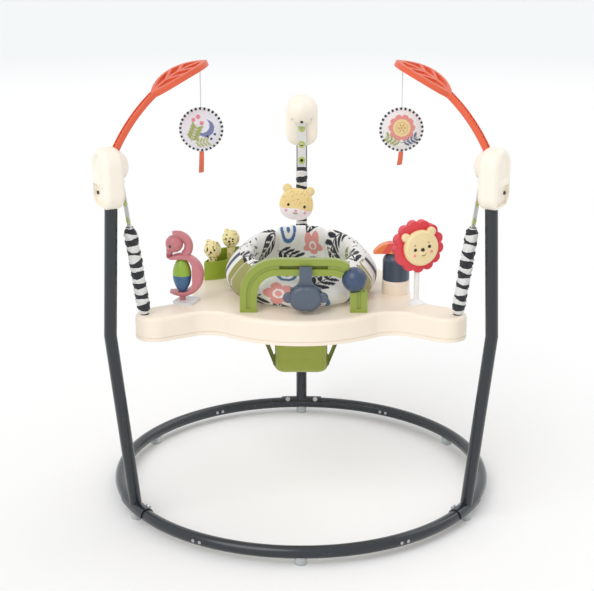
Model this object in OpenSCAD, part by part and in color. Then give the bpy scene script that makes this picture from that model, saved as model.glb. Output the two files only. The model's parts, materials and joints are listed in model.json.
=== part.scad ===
// Baby jumper: a floor ring with three legs and corner hubs, three sleeved springs, a three-lobed
// toy tray and a turning fabric seat. Millimetres, +Z up, the front faces -Y. The origin is on the
// floor, in the middle of the overall box. Angles are counted from +X, seen from above.

/* [Base ring] */
// Outside diameter of the floor ring
ring_od = 810; // [760:10:860]
// Outside diameter of the frame tubes
tube_d = 25.4; // [23:0.2:28]
// Wall of the frame tubes
tube_wall = 1.6; // [1.2:0.1:2.2]
// Height of the floor pads under the ring
pad_h = 12; // [10:1:18]
// Diameter of the floor pads
pad_d = 24; // [20:1:25]
// Length of the reduced ends that plug the arcs together
spigot_len = 60; // [45:5:80]
// Diameter of the spring pins at the ring joints
snap_pin_d = 7; // [5:0.5:9]
// Angle from the front to each front joint
front_joint_deg = 27; // [22:1:34]
// Angle from the rear to each rear joint
rear_joint_deg = 28; // [22:1:34]

/* [Legs] */
// Height of the bend of a leg
bend_z = 405; // [340:1:420]
// How far a leg bows out between the ring and its bend
leg_bow = 41; // [30:1:45]
// How far a hub stands outside the ring
leg_lean = 28; // [20:1:34]
// Length of the saddle plate along the ring
saddle_len = 96; // [80:2:130]
// Thickness of the saddle plate
saddle_wall = 2.5; // [2:0.1:4]
// Diameter of the saddle bolts
bolt_d = 6; // [5:0.5:7]

/* [Hubs] */
// Height of the underside of a hub
hub_z = 662; // [640:1:690]
// Height of a hub
hub_h = 118; // [112:1:132]
// Width of a hub
hub_w = 75; // [72:1:84]
// Depth of a hub from the leg axis towards the seat
hub_front = 17; // [16:1:20]
// Depth of a hub from the leg axis outward
hub_back = 25; // [24:1:36]
// Wall of the hub shells
hub_wall = 2.6; // [2:0.1:3.2]
// Radius of the hub's rounded edges
hub_edge = 12; // [8:1:15]
// Radius of the hub's lower corners
hub_corner = 28; // [22:1:32]
// Radius of the dome over the strap peg
dome_r = 34; // [32:1:35]
// Diameter of the strap peg
peg_d = 7; // [6:0.5:8]
// Diameter of the screws in the hubs
hub_screw_d = 3.6; // [3:0.2:4.2]

/* [Suspension] */
// Distance of the spring's foot from the middle of the tray
anchor_r = 357; // [345:1:362]
// Depth of the spring's cross bar under the top of the tray
anchor_drop = 10; // [9:1:14]
// Diameter of the spring's cross bar
anchor_bar_d = 7; // [6:0.5:8]
// Width of the webbing straps
strap_w = 20; // [18:1:22]
// Thickness of the webbing
strap_t = 1.6; // [1.2:0.1:2]
// Outside diameter of an eyelet
eyelet_d = 16; // [14:0.5:17]
// Distance between eyelets
eyelet_pitch = 37; // [34:1:39]
// Outside diameter of the springs
spring_d = 18; // [16:0.5:18.5]
// Diameter of the spring wire
wire_d = 2.2; // [1.8:0.1:2.6]
// Turns of a spring
spring_turns = 16; // [10:1:22]
// Length of a sleeve
sleeve_len = 180; // [165:1:185]
// Diameter of a sleeve across its gathers
sleeve_d = 29; // [28:0.5:32]
// Gathered bands of a sleeve
sleeve_bands = 16; // [10:2:20]

/* [Tray] */
// Height of the tray's top
tray_z = 438; // [425:1:455]
// Height of the tray's skirt
tray_h = 50; // [44:1:56]
// Radius of the tray between its lobes
tray_r = 230; // [228:1:238]
// Reach of the lobes from the middle
lobe_r = 376; // [366:1:384]
// Width of a lobe
lobe_w = 80; // [72:1:90]
// Radius of the waist between a lobe and the tray's round
waist_r = 70; // [55:1:90]
// Wall of the tray
tray_wall = 3; // [2.5:0.1:4]
// Radius of the tray's top edge
tray_edge = 10; // [6:1:14]
// Diameter of the seat's bore in the tray
seat_bore = 244; // [230:1:248]
// Depth of the wall round the seat's bore
bore_depth = 38; // [30:1:42]

/* [Seat] */
// Outside diameter of the seat ring's flange
flange_d = 292; // [280:1:296]
// Thickness of the seat ring
seat_ring_t = 3; // [2.5:0.1:4]
// Outside diameter of the stuffed collar
collar_od = 330; // [318:1:332]
// Thickness of the collar from inside to outside
collar_w = 64; // [54:1:66]
// Height of the collar at the front
collar_h = 66; // [56:1:68]
// How much higher the collar is at the back
collar_rise = 38; // [20:1:44]
// Depth of the seat below the top of the tray
seat_depth = 177; // [160:1:190]
// Width of the seat's bottom
bag_w = 108; // [100:1:130]
// Length of the seat's bottom
bag_l = 100; // [90:1:120]
// Thickness of the seat's cloth
bag_t = 3; // [2:0.5:4]
// Width of the seat's front and rear panels
panel_w = 106; // [90:1:110]
// Width of the seat's side straps
side_strap_w = 34; // [28:1:40]

/* [Leaf arms and hanging toys] */
// Length of an arm's stem
stem_len = 126; // [115:1:135]
// Slope of the stem
stem_deg = 51; // [45:1:56]
// Width of the stem
stem_w = 15; // [11:1:16]
// Thickness of the stem
stem_t = 12; // [9:1:13]
// Length of the leaf
leaf_len = 132; // [120:1:140]
// Width of the leaf
leaf_w = 74; // [60:1:80]
// Thickness of the leaf
leaf_t = 11; // [8:1:12]
// Slope of the leaf's chord
leaf_deg = 25; // [18:1:32]
// Radius of the leaf's bend
leaf_bend_r = 222; // [180:1:300]
// Length of a toy's cord
cord_len = 74; // [60:1:85]
// Diameter of a cord
cord_d = 2; // [1.5:0.1:3]
// Diameter of a hanging disc
disc_d = 87; // [75:1:95]
// Thickness of a hanging disc
disc_t = 26; // [20:1:30]
// Length of the left ribbon
ribbon_left = 47; // [30:1:60]
// Length of the right ribbon
ribbon_right = 28; // [20:1:60]

/* [Tray toys] */
// Overall width of the arch
arch_w = 254; // [246:1:264]
// Height of the arch over the tray
arch_h = 110; // [108:1:118]
// Width of the arch's bar
arch_bar = 34; // [32:1:36]
// Depth of the arch's bar
arch_depth = 16; // [15:1:18]
// Centre-line radius of the arch's corners
arch_corner = 57; // [54:1:60]
// Diameter of the arch's bead
bead_d = 50; // [44:1:52]
// Angle of the bead on its corner
bead_deg = 33; // [31:1:36]
// Diameter of the spindle through the bead
spindle_d = 12; // [10:1:14]
// Diameter of the lion's mane
mane_d = 108; // [100:1:120]
// Diameter of the lion's face
face_d = 73; // [68:1:80]
// Height of the lion's middle over the tray
lion_h = 121; // [112:1:128]
// Diameter of the lion's post
post_d = 11; // [10:0.5:13]
// Radius of the flamingo's round body
flamingo_r = 45; // [43:1:48]
// Thickness of the flamingo's body
flamingo_t = 26; // [22:1:28]
// Diameter of the egg roller
egg_d = 38; // [32:1:42]
// Diameter of the egg roller's pin
roller_pin_d = 4; // [3:0.5:5]
// Height of the pedestal under the toucan
pedestal_h = 30; // [24:1:34]
// Diameter of the toucan's body
toucan_d = 56; // [50:1:58]
// Height of the toucan's body
toucan_h = 56; // [50:1:60]
// Length of the leaf cup
cup_len = 104; // [96:1:110]
// Width of the leaf cup
cup_w = 40; // [36:1:42]
// Height of the leaf cup
cup_h = 40; // [34:1:46]
// Diameter of the cubs' heads
cub_d = 38; // [34:1:40]
// Width of the plush head
plush_w = 80; // [72:1:96]
// Depth of the plush head
plush_t = 42; // [36:1:48]

/* [Hidden] */
$fn = 48;

// Clearances
fit = 0.2;
run_gap = 0.3;
shaft_gap = 0.08;
slide_gap = 0.4;
cut = 1;

// Stations of the legs, hubs and lobes
left_deg = 210;
right_deg = 330;
rear_deg = 90;
stations = [left_deg, right_deg, rear_deg];

// Frame
ring_r = ring_od / 2 - tube_d / 2;
ring_z = pad_h + tube_d / 2;
tube_bore = tube_d - 2 * tube_wall;
spigot_d = tube_bore - 2 * fit;
leg_r = ring_r + leg_lean;
bow_r = ring_r + leg_bow;
leg_deg = atan2(leg_bow, bend_z - ring_z);
leg_hold = 40;
leg_start = 5;
leg_top_z = hub_z + leg_hold;
back_deg = atan2(leg_bow - leg_lean, hub_z + leg_hold / 2 - bend_z);
upper_len = (leg_top_z - bend_z) / cos(back_deg);
axis_y = (ring_od / 2 - leg_r - hub_back) / 2;
seam_gap = 0.4;
neck_len = 12;
snap_step = 15;
snap_proud = 1.2;
pad_angles = [30, 90, 150, 210, 270, 330];
pad_cup = 5;
pad_screw_d = 4.4;
pad_head_d = 9;
pad_head_h = 3;
bolt_tilt = 45;
bolt_head_d = 11;
bolt_head_h = 4;
bolt_hold = 8;
bolt_deg = ring_deg(saddle_len * 0.36);
saddle_skirt = 3;
saddle_id = tube_d + 2 * fit;
saddle_od = saddle_id + 2 * saddle_wall;

// Hubs
hub_mid_r = leg_r + (hub_back - hub_front) / 2;
hub_top_c = hub_z + hub_h - hub_w / 2;
dome_set = 2;
rib_heights = [14, 40];
rib_t = 3;
cover_d = 52;
cover_dip = 4;
pocket_w = 54;
pocket_h = 38;
pocket_dip = 8;
pocket_z = hub_z + 28;
hub_screw_y = 20;
hub_screw_boss = 9;
hub_head_d = 7;
hub_head_h = 2.6;
dome_screw_drop = 21;
dome_screw_hold = 1.5;

// Suspension line from the cross bar under the tray to the peg in the dome
anchor_z = tray_z - anchor_drop;
peg_r = leg_r - 20;
peg_z = hub_z + 66;
line_deg = atan2(peg_r - anchor_r, peg_z - anchor_z);
line_len = norm([peg_r - anchor_r, peg_z - anchor_z]);
deck_s = anchor_drop / cos(line_deg);
sleeve_low = deck_s + 3;
sleeve_high = sleeve_low + sleeve_len;
sleeve_wall = 1.2;
sleeve_dip = 2.2;
spring_low = sleeve_low + 6;
spring_high = sleeve_high - 16;
coil_rings = 8;
plug_d = (spring_d - wire_d) * cos(180 / coil_rings) - wire_d - 2 * fit;
plug_hold = 18;
strap_low = spring_high + 2;
strap_hold = 12;
anchor_bar_len = 34;
anchor_lug_t = 5;
anchor_lug_y = 10;
anchor_hole_d = plug_d + 5;
eyelet_bore = peg_d + 0.6;
eyelet_neck = eyelet_bore + 3;
eyelet_flange = 1.2;
eyelet_low = sleeve_high + 13;
eyelet_places = [eyelet_low, eyelet_low + eyelet_pitch, eyelet_low + 2 * eyelet_pitch];
peg_off = norm([leg_r - dome_set - peg_r, hub_top_c - peg_z]);
peg_socket = 1.2;
peg_len = 2 * (sqrt(pow(dome_r - hub_wall, 2) - pow(peg_off, 2)) + peg_socket);
loop_d = peg_d + 2 * fit + 2 * strap_t;

// Leaf arms and hanging toys
root_r = leg_r - 12;
root_z = hub_z + hub_h - 8;
stem_turn = 22;
stem_root_deg = stem_deg + stem_turn / 2;
stem_bend_r = stem_len / (2 * sin(stem_turn / 2));
stem_tang = 12;
stem_lap = 12;
stem_groove_w = 7;
stem_groove_t = 3;
stem_rib_deg = 1.6;
stem_rib_t = 2;
stem_end_r = root_r - stem_len * cos(stem_deg);
stem_end_z = root_z + stem_len * sin(stem_deg);
leaf_side_r = (pow(leaf_len / 2, 2) + pow(leaf_w / 2, 2)) / leaf_w;
leaf_sag = sqrt(pow(leaf_bend_r, 2) - pow(leaf_len / 2, 2));
leaf_rim = 7.5;
leaf_midrib = 9;
leaf_vein = 7.5;
leaf_vein_deg = 48;
leaf_vein_places = [0.30, 0.52];
cord_inset = 20;
knot_r = 2.4;
cord_x = leaf_len - cord_inset;
leaf_under = sqrt(pow(leaf_bend_r - leaf_t / 2, 2) - pow(cord_x - leaf_len / 2, 2)) - leaf_sag;
knot = leaf_point(cord_x, leaf_under - (knot_r + run_gap) / cos(leaf_deg));
cord_sides = 8;
cord_route = [[0, 0, -1], [0, 0, -cord_len]];
cord_rings = 14;
piping_d = 6.4;
ribbon_w = 10;
ribbon_t = 1;
ribbon_curl_r = 90;

// Tray
lobe_half = lobe_w / 2;
waist_bite = 1;
waist_bevel = 5;
waist_y = lobe_half + waist_r - waist_bite;
waist_x = sqrt(pow(tray_r + waist_r - waist_bite, 2) - pow(waist_y, 2));
tray_low_z = tray_z - tray_h;
skirt_line_h = 7;
skirt_line_w = 1.4;
skirt_line_dip = 1.2;
deck_low_z = tray_z - tray_wall;
stud_d = 10;
stud_len = tray_wall + 5;

// Seat
bore_r = seat_bore / 2;
barrel_r = bore_r - run_gap;
barrel_in_r = barrel_r - seat_ring_t;
flange_z = tray_z + run_gap;
flange_top = flange_z + seat_ring_t;
bore_low_z = tray_z - bore_depth;
retainer_lip = 9;
pad_low_z = flange_top;
pad_sink = 4;
pad_mid_r = (collar_od - collar_w) / 2;
pad_lean = 20;
pad_back_tuck = 6;
pad_steps = 40;
pad_sides = 16;
hem_h = 16;
hem_r = barrel_in_r - run_gap;
bag_low_z = tray_z - seat_depth;
bag_corner = 18;
hem_top_z = flange_top;

// Tray toys
arch_x = 5;
arch_y = -162;
arch_half = (arch_w - arch_bar) / 2;
arch_mid_h = arch_h - arch_bar / 2;
arch_leg_h = arch_mid_h - arch_corner;
arch_straight = 2 * (arch_half - arch_corner);
groove_w = 8;
groove_dip = 2.5;
groove_low = 8;
tenon_w = 22;
tenon_t = 8;
bead_gap_deg = asin((bead_d / 2 + run_gap) / arch_corner);
bead_flats = 10;
bead_flat_d = 0.97 * bead_d;
slot_len = arch_straight - 10;
slot_neck = 7;
slot_neck_dip = 5;
slot_head = 13;
slot_head_dip = 5;
slider_x = 4;
slider_key_len = 22;
slider_post_w = 25;
slider_post_t = 9;
slider_head_r = 26;
slider_head_t = 22;
slider_ear_r = 11;
slider_head_drop = 60;
slider_flare_r = 18;
lion_x = 234;
lion_y = -106;
lion_yaw = 20;
mane_t = 16;
mane_lobes = 13;
mane_lobe_r = 12.6;
face_t = 16;
face_roll = 10;
muzzle_r = 10;
ear_r = 9;
post_pin_d = 8;
post_pin_hold = 34;
post_foot_d = 34;
post_foot_h = 9;
flamingo_x = -242;
flamingo_y = -98;
flamingo_base_w = 44;
flamingo_base_l = 48;
flamingo_base_t = 5;
flamingo_base_yaw = -18;
flamingo_lift = 8;
flamingo_edge = 9;
flamingo_open = 8;
flamingo_horn = 25;
flamingo_z = tray_z + flamingo_base_t + flamingo_lift + flamingo_r;
flamingo_foot_d = 12;
neck_r = 23;
neck_x = -8;
neck_rise = 60;
neck_t = 18;
neck_head = 5;
flamingo_head_r = 18;
head_set = 6;
egg_half = flamingo_r - 11;
toucan_x = 197;
toucan_y = -30;
beak_r = 44;
beak_t = 24;
beak_h = 22;
beak_x = -10;
cup_x = -172;
cup_y = 92;
cup_yaw = 46;
cup_back_h = 56;
cup_wall = 3;
cub_x = 27;
cub_h = 64;
cub_step = 14;
cub_body_d = 18;
plush_z = 541;
plush_side = 12;
plush_roll = 9;

function ring_deg(length) = length / ring_r * 180 / PI;
function leaf_point(x, z) = [stem_end_r - x * cos(leaf_deg) + z * sin(leaf_deg), 0,
    stem_end_z + x * sin(leaf_deg) + z * cos(leaf_deg)];
function sides_of(steps, sides, closed) = [for (i = [0 : steps - (closed ? 1 : 2)], j = [0 : sides - 1])
    let (a = i * sides, b = ((i + 1) % steps) * sides, k = (j + 1) % sides)
    each [[a + j, a + k, b + k], [a + j, b + k, b + j]]];
function ends_of(steps, sides) = [for (j = [1 : sides - 2]) each [[0, j + 1, j],
    [(steps - 1) * sides, (steps - 1) * sides + j, (steps - 1) * sides + j + 1]]];

// Places

module centre() translate([0, axis_y, 0]) children();
module station(a) centre() rotate([0, 0, a]) children();
module on_line(a) station(a) translate([anchor_r, 0, anchor_z]) rotate([0, line_deg, 0]) children();
module inward(p, slope) translate(p) rotate([0, 0, 180]) rotate([0, -slope, 0]) children();
module toy_at(a) centre() translate([knot[0] * cos(a), knot[0] * sin(a), knot[2]]) children();

// Shared shapes

module rounded_rect(a, b, r) {
    square([a - 2 * r, b], center = true);
    square([a, b - 2 * r], center = true);
    for (i = [-1, 1], j = [-1, 1]) translate([i * (a / 2 - r), j * (b / 2 - r)]) circle(r);
}

module puck(r, depth, edge) rotate_extrude() intersection() {
    rounded_rect(2 * r, depth, edge);
    translate([0, -depth]) square([2 * r, 2 * depth]);
}

module edge_profile(r, h, edge) intersection() {
    union() {
        square([r - edge, h]);
        square([r, h - edge]);
        translate([r - edge, h - edge]) circle(edge);
    }
    square([r, h]);
}

module vesica(length, width) {
    side_r = (pow(length / 2, 2) + pow(width / 2, 2)) / width;
    intersection() {
        translate([0, width / 2 - side_r]) circle(side_r, $fn = 96);
        translate([0, side_r - width / 2]) circle(side_r, $fn = 96);
    }
}

// Floor ring

module ring_run(d, from, to) translate([0, 0, ring_z]) rotate([0, 0, from])
    rotate_extrude(angle = to - from) translate([ring_r, 0]) circle(d = d);

front_left = 270 - front_joint_deg;
front_right = 270 + front_joint_deg;
rear_left = rear_deg + rear_joint_deg;
rear_right = rear_deg - rear_joint_deg;
snap_deg = ring_deg(snap_step);
snap_angles = [for (k = [1, 2]) each [front_left - k * snap_deg, front_right + k * snap_deg,
    rear_right - k * snap_deg, rear_left + k * snap_deg]];
bolt_angles = [for (a = stations, s = [-1, 1]) a + s * bolt_deg];

module at_ring(a) rotate([0, 0, a]) translate([ring_r, 0, ring_z]) children();
module bolt_axis(a) at_ring(a) rotate([0, -bolt_tilt, 0]) children();

module ring_holes() {
    for (a = snap_angles) at_ring(a) rotate([0, 90, 0])
        cylinder(d = snap_pin_d + 2 * fit, h = 2 * tube_d, center = true);
    for (a = bolt_angles) bolt_axis(a) cylinder(d = bolt_d + 2 * fit, h = tube_d);
    for (a = pad_angles) at_ring(a) translate([0, 0, -tube_d])
        cylinder(d = pad_screw_d + 2 * fit, h = tube_d);
}

module plain_arc(from, to) color("#2b3138") centre() difference() {
    ring_run(tube_d, from + ring_deg(seam_gap) / 2, to - ring_deg(seam_gap) / 2);
    ring_run(tube_bore, from, to);
    ring_holes();
}

module plugged_arc(from, to) color("#2b3138") centre() difference() {
    union() {
        ring_run(tube_d, from + ring_deg(seam_gap) / 2, to - ring_deg(seam_gap) / 2);
        ring_run(spigot_d, from - ring_deg(spigot_len), to + ring_deg(spigot_len));
    }
    ring_run(tube_bore, from + ring_deg(neck_len), to - ring_deg(neck_len));
    ring_run(spigot_d - 2 * tube_wall, from - ring_deg(spigot_len + cut),
        to + ring_deg(spigot_len + cut));
    ring_holes();
}

module base_arc_front() plugged_arc(front_left, front_right);
module base_arc_rear() plugged_arc(rear_right, rear_left);
module base_arc_left() plain_arc(rear_left, front_left);
module base_arc_right() plain_arc(front_right - 360, rear_right);

module snap_pins() color("#8d939a") centre() for (a = snap_angles) at_ring(a) rotate([0, 90, 0])
    cylinder(d = snap_pin_d, h = tube_d + 2 * snap_proud, center = true);

// Legs

module upper_axis() translate([bow_r, 0, bend_z]) rotate([0, -back_deg, 0]) children();

module bend_side(sign) translate([bow_r, 0, bend_z]) rotate([0, (leg_deg - back_deg) / 2, 0])
    translate([0, 0, sign * leg_top_z / 2]) cube(leg_top_z, center = true);

module leg_run(d) {
    difference() {
        translate([ring_r, 0, ring_z]) rotate([0, leg_deg, 0]) translate([0, 0, leg_start])
            cylinder(d = d, h = bend_z);
        bend_side(1);
    }
    difference() {
        upper_axis() translate([0, 0, -tube_d]) cylinder(d = d, h = upper_len + tube_d);
        bend_side(-1);
    }
}

module saddle() translate([0, 0, ring_z]) rotate([0, 0, -ring_deg(saddle_len / 2)])
    rotate_extrude(angle = ring_deg(saddle_len)) translate([ring_r, 0]) intersection() {
        circle(d = saddle_od);
        translate([-saddle_od, -saddle_skirt]) square(2 * saddle_od);
    }

module leg(a) color("#2b3138") station(a) difference() {
    union() {
        leg_run(tube_d);
        saddle();
    }
    leg_run(tube_bore);
    ring_run(saddle_id, -ring_deg(saddle_len), ring_deg(saddle_len));
    for (s = [-1, 1]) bolt_axis(s * bolt_deg) cylinder(d = bolt_d + 2 * fit, h = tube_d);
}

module leg_left() leg(left_deg);
module leg_right() leg(right_deg);
module leg_rear() leg(rear_deg);

module leg_bolts() color("#6f757c") centre() for (a = bolt_angles) bolt_axis(a) {
    translate([0, 0, saddle_od / 2]) cylinder(d = bolt_head_d, h = bolt_head_h);
    translate([0, 0, tube_d / 2 - bolt_hold])
        cylinder(d = bolt_d, h = bolt_hold + saddle_od / 2 - tube_d / 2);
}

module foot_pads() color("#e9ecec") centre() for (a = pad_angles) difference() {
    rotate([0, 0, a]) translate([ring_r, 0, 0]) rotate_extrude() polygon([[0, 0], [pad_d / 2 - 1.5, 0],
        [pad_d / 2, 1.5], [pad_d / 2, pad_h + pad_cup], [0, pad_h + pad_cup]]);
    ring_run(tube_d + 2 * fit, a - ring_deg(pad_d), a + ring_deg(pad_d));
    rotate([0, 0, a]) translate([ring_r, 0, -cut]) {
        cylinder(d = pad_screw_d + 2 * fit, h = 2 * pad_h);
        cylinder(d = pad_head_d + 2 * fit, h = cut + 1 + pad_head_h);
    }
}

module foot_screws() color("#8d939a") centre() for (a = pad_angles) rotate([0, 0, a])
    translate([ring_r, 0, 1]) {
        cylinder(d = pad_head_d, h = pad_head_h);
        cylinder(d = pad_screw_d, h = pad_h + tube_wall + 4);
    }

// Hubs

module hub_form(inset) {
    depth = hub_front + hub_back - 2 * inset;
    edge = hub_edge - inset;
    corner = hub_corner - inset;
    half = hub_w / 2 - inset;
    translate([hub_mid_r, 0, 0]) {
        translate([0, 0, hub_top_c]) rotate([0, 90, 0]) puck(half, depth, edge);
        translate([0, 0, hub_z + hub_corner]) linear_extrude(hub_top_c - hub_z - hub_corner)
            rounded_rect(depth, 2 * half, edge);
        translate([0, 0, hub_z + hub_corner]) {
            for (s = [-1, 1]) translate([0, s * (half - corner), 0]) rotate([0, 90, 0])
                puck(corner, depth, edge);
            rotate([90, 0, 0]) linear_extrude(2 * (half - corner), center = true)
                rounded_rect(depth, 2 * corner, edge);
        }
    }
}

module hub_half(side) intersection() {
    children();
    translate([hub_mid_r + (side - 1) * hub_w, -hub_w, hub_z - hub_h])
        cube([hub_w, 2 * hub_w, 3 * hub_h]);
}

module hub_shell(side) hub_half(side) {
    difference() {
        hub_form(0);
        difference() {
            hub_form(hub_wall);
            for (h = rib_heights) translate([leg_r - hub_w, -hub_w, hub_z + h])
                cube([2 * hub_w, 2 * hub_w, rib_t]);
        }
    }
}

module leg_hole() upper_axis() cylinder(d = tube_d + 2 * fit, h = upper_len + fit);
module dome(r) translate([leg_r - dome_set, 0, hub_top_c]) sphere(r);
module peg_bar(d, length) translate([peg_r, 0, peg_z]) rotate([90, 0, 0])
    cylinder(d = d, h = length, center = true);
module screw_axes() for (s = [-1, 1]) translate([0, s * hub_screw_y, pocket_z]) rotate([0, 90, 0])
    children();
module dome_screw_axis() translate([leg_r - dome_set, 0, hub_top_c])
    rotate([0, -90 - asin(dome_screw_drop / dome_r), 0]) children();

module hub_inner(a, has_arm) color("#efe9dc") station(a) difference() {
    union() {
        hub_shell(0);
        hub_half(0) dome(dome_r);
        hub_half(0) screw_axes() translate([0, 0, leg_r - hub_front + hub_wall / 2])
            cylinder(d = hub_screw_boss, h = hub_mid_r - leg_r + hub_front);
    }
    dome(dome_r - hub_wall);
    leg_hole();
    screw_axes() translate([0, 0, leg_r]) cylinder(d = hub_screw_d, h = hub_back);
    peg_bar(peg_d + 2 * fit, peg_len + 2 * fit);
    if (has_arm) arm_tang(1.5 * fit);
    translate([anchor_r, 0, anchor_z]) rotate([0, line_deg, 0])
        translate([-strap_t - fit, -strap_w / 2 - 1, sleeve_high])
        cube([2 * strap_t + 2 * fit, strap_w + 2, line_len - sleeve_high]);
    dome_screw_axis() cylinder(d = hub_screw_d + 2 * fit, h = 2 * dome_r);
}

module hub_outer(a) color("#efe9dc") station(a) difference() {
    union() {
        hub_shell(1);
        hub_half(1) intersection() {
            hub_form(hub_wall / 2);
            union() {
                translate([hub_mid_r, 0, hub_top_c]) rotate([0, 90, 0])
                    translate([0, 0, (hub_back + hub_front) / 2 - cover_dip - hub_wall])
                    cylinder(d = cover_d + 2 * hub_wall, h = cover_dip + hub_wall);
                translate([leg_r + hub_back - pocket_dip - hub_wall, -pocket_w / 2 - hub_wall,
                    pocket_z - pocket_h / 2 - hub_wall])
                    cube([pocket_dip + hub_wall, pocket_w + 2 * hub_wall, pocket_h + 2 * hub_wall]);
            }
        }
        screw_axes() translate([0, 0, hub_mid_r])
            cylinder(d = hub_screw_boss, h = hub_back - pocket_dip + leg_r - hub_mid_r);
    }
    leg_hole();
    translate([leg_r + hub_back - cover_dip, 0, hub_top_c]) rotate([0, 90, 0])
        cylinder(d1 = cover_d - 2 * cover_dip, d2 = cover_d, h = cover_dip + cut);
    translate([leg_r + hub_back - pocket_dip, -pocket_w / 2, pocket_z - pocket_h / 2])
        cube([pocket_dip + cut, pocket_w, pocket_h]);
    screw_axes() translate([0, 0, leg_r]) cylinder(d = hub_screw_d + 2 * fit, h = hub_back);
}

module hub_inner_left() hub_inner(left_deg, true);
module hub_inner_right() mirror([1, 0, 0]) hub_inner(left_deg, true);
module hub_inner_rear() hub_inner(rear_deg, false);
module hub_outer_left() hub_outer(left_deg);
module hub_outer_right() hub_outer(right_deg);
module hub_outer_rear() hub_outer(rear_deg);

module hub_screws() color("#4a4d50") for (a = stations) station(a) {
    screw_axes() translate([0, 0, leg_r + hub_back - pocket_dip]) {
        cylinder(d = hub_head_d, h = hub_head_h);
        translate([0, 0, -14]) cylinder(d = hub_screw_d - fit, h = 14);
    }
    dome_screw_axis() translate([0, 0, dome_r - hub_wall - dome_screw_hold]) {
        cylinder(d = hub_screw_d, h = hub_wall + dome_screw_hold);
        translate([0, 0, hub_wall + dome_screw_hold]) cylinder(d = hub_head_d, h = hub_head_h / 2);
    }
}

module strap_pegs() color("#9aa0a6") for (a = stations) station(a) peg_bar(peg_d, peg_len);

// Suspension

module across(s) translate([0, 0, s]) rotate([0, 90, 0]) children();

module height_strap(a) color("#f4f4f2") on_line(a) difference() {
    union() {
        translate([-strap_t / 2, -strap_w / 2, strap_low]) cube([strap_t, strap_w, line_len - strap_low]);
        translate([0, 0, line_len]) rotate([90, 0, 0]) cylinder(d = loop_d, h = strap_w, center = true);
    }
    translate([0, 0, line_len]) rotate([90, 0, 0])
        cylinder(d = peg_d + 2 * fit, h = strap_w + cut, center = true);
    for (s = eyelet_places) across(s) cylinder(d = eyelet_neck + 2 * fit, h = loop_d, center = true);
}

module height_strap_left() height_strap(left_deg);
module height_strap_right() height_strap(right_deg);
module height_strap_rear() height_strap(rear_deg);

module strap_eyelets() color("#a9c23f") for (a = stations) on_line(a) for (s = eyelet_places) across(s)
    difference() {
    union() {
        cylinder(d = eyelet_neck, h = strap_t + 2 * fit, center = true);
        for (m = [0, 1]) mirror([0, 0, m]) translate([0, 0, strap_t / 2 + fit / 2])
            cylinder(d1 = eyelet_d, d2 = eyelet_d - eyelet_flange, h = eyelet_flange);
    }
    cylinder(d = eyelet_bore, h = loop_d, center = true);
}

module strap_anchors() color("#3b3f44") for (a = stations) on_line(a) difference() {
    translate([0, 0, spring_high - plug_hold]) cylinder(d = plug_d, h = plug_hold + 2 + strap_hold);
    translate([-strap_t / 2 - fit, -plug_d, strap_low - fit])
        cube([strap_t + 2 * fit, 2 * plug_d, 2 * strap_hold]);
}

module spring_anchors() color("#3b3f44") for (a = stations) on_line(a) {
    cylinder(d = plug_d, h = spring_low + plug_hold);
    rotate([90, 0, 0]) cylinder(d = anchor_bar_d, h = anchor_bar_len, center = true);
}

coil_r = (spring_d - wire_d) / 2;
coil_sides = 6;
coil_count = spring_turns * coil_rings + 1;
coil_pitch = (spring_high - spring_low - wire_d) / spring_turns;
coil_slope = atan2(coil_pitch, 2 * PI * coil_r);
function coil_angle(i) = 360 * i / coil_rings;
function coil_mid(i) = [coil_r * cos(coil_angle(i)), coil_r * sin(coil_angle(i)),
    spring_low + wire_d / 2 + coil_pitch * i / coil_rings];
function coil_way(i) = [-sin(coil_angle(i)) * cos(coil_slope), cos(coil_angle(i)) * cos(coil_slope),
    sin(coil_slope)];
function coil_ring(p, i) = let (out = [cos(coil_angle(i)), sin(coil_angle(i)), 0],
    up = cross(out, coil_way(i)))
    [for (j = [0 : coil_sides - 1])
        p + wire_d / 2 * (cos(360 * j / coil_sides) * out + sin(360 * j / coil_sides) * up)];
coil_points = concat(coil_ring(coil_mid(0) - wire_d * coil_way(0), 0),
    [for (i = [0 : coil_count - 1]) each coil_ring(coil_mid(i), i)],
    coil_ring(coil_mid(coil_count - 1) + wire_d * coil_way(coil_count - 1), coil_count - 1));
coil_gap = min([for (i = [0 : coil_count - 1], k = [i + coil_rings / 2 : coil_count - 1])
    norm(coil_mid(i) - coil_mid(k))]) - wire_d;
echo(str("Least gap between spring turns: ", coil_gap, " mm"));

module spring(a) color("#b9bcc0") on_line(a)
    polyhedron(coil_points, concat(sides_of(coil_count + 2, coil_sides, false),
        ends_of(coil_count + 2, coil_sides)));

module spring_left() spring(left_deg);
module spring_right() spring(right_deg);
module spring_rear() spring(rear_deg);

sleeve_low_r = plug_d / 2 + run_gap;
sleeve_high_r = strap_w / 2 + run_gap;
sleeve_steps = 4 * sleeve_bands;
function sleeve_bulge(i) = sleeve_d / 2 - sleeve_wall - sleeve_dip * (1 - pow(sin(45 * (i % 4)), 2));
function sleeve_radius(i) = i == 0 ? sleeve_low_r : i == sleeve_steps ? sleeve_high_r : sleeve_bulge(i);
sleeve_line = [for (i = [0 : sleeve_steps]) [sleeve_radius(i),
    sleeve_low + sleeve_len * i / sleeve_steps]];

module spring_sleeve(a) color("#e8e8e6") on_line(a) rotate_extrude() polygon(concat(sleeve_line,
    [for (i = [sleeve_steps : -1 : 0]) sleeve_line[i] + [sleeve_wall, 0]]));

module spring_sleeve_left() spring_sleeve(left_deg);
module spring_sleeve_right() spring_sleeve(right_deg);
module spring_sleeve_rear() spring_sleeve(rear_deg);

// Leaf arms

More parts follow.
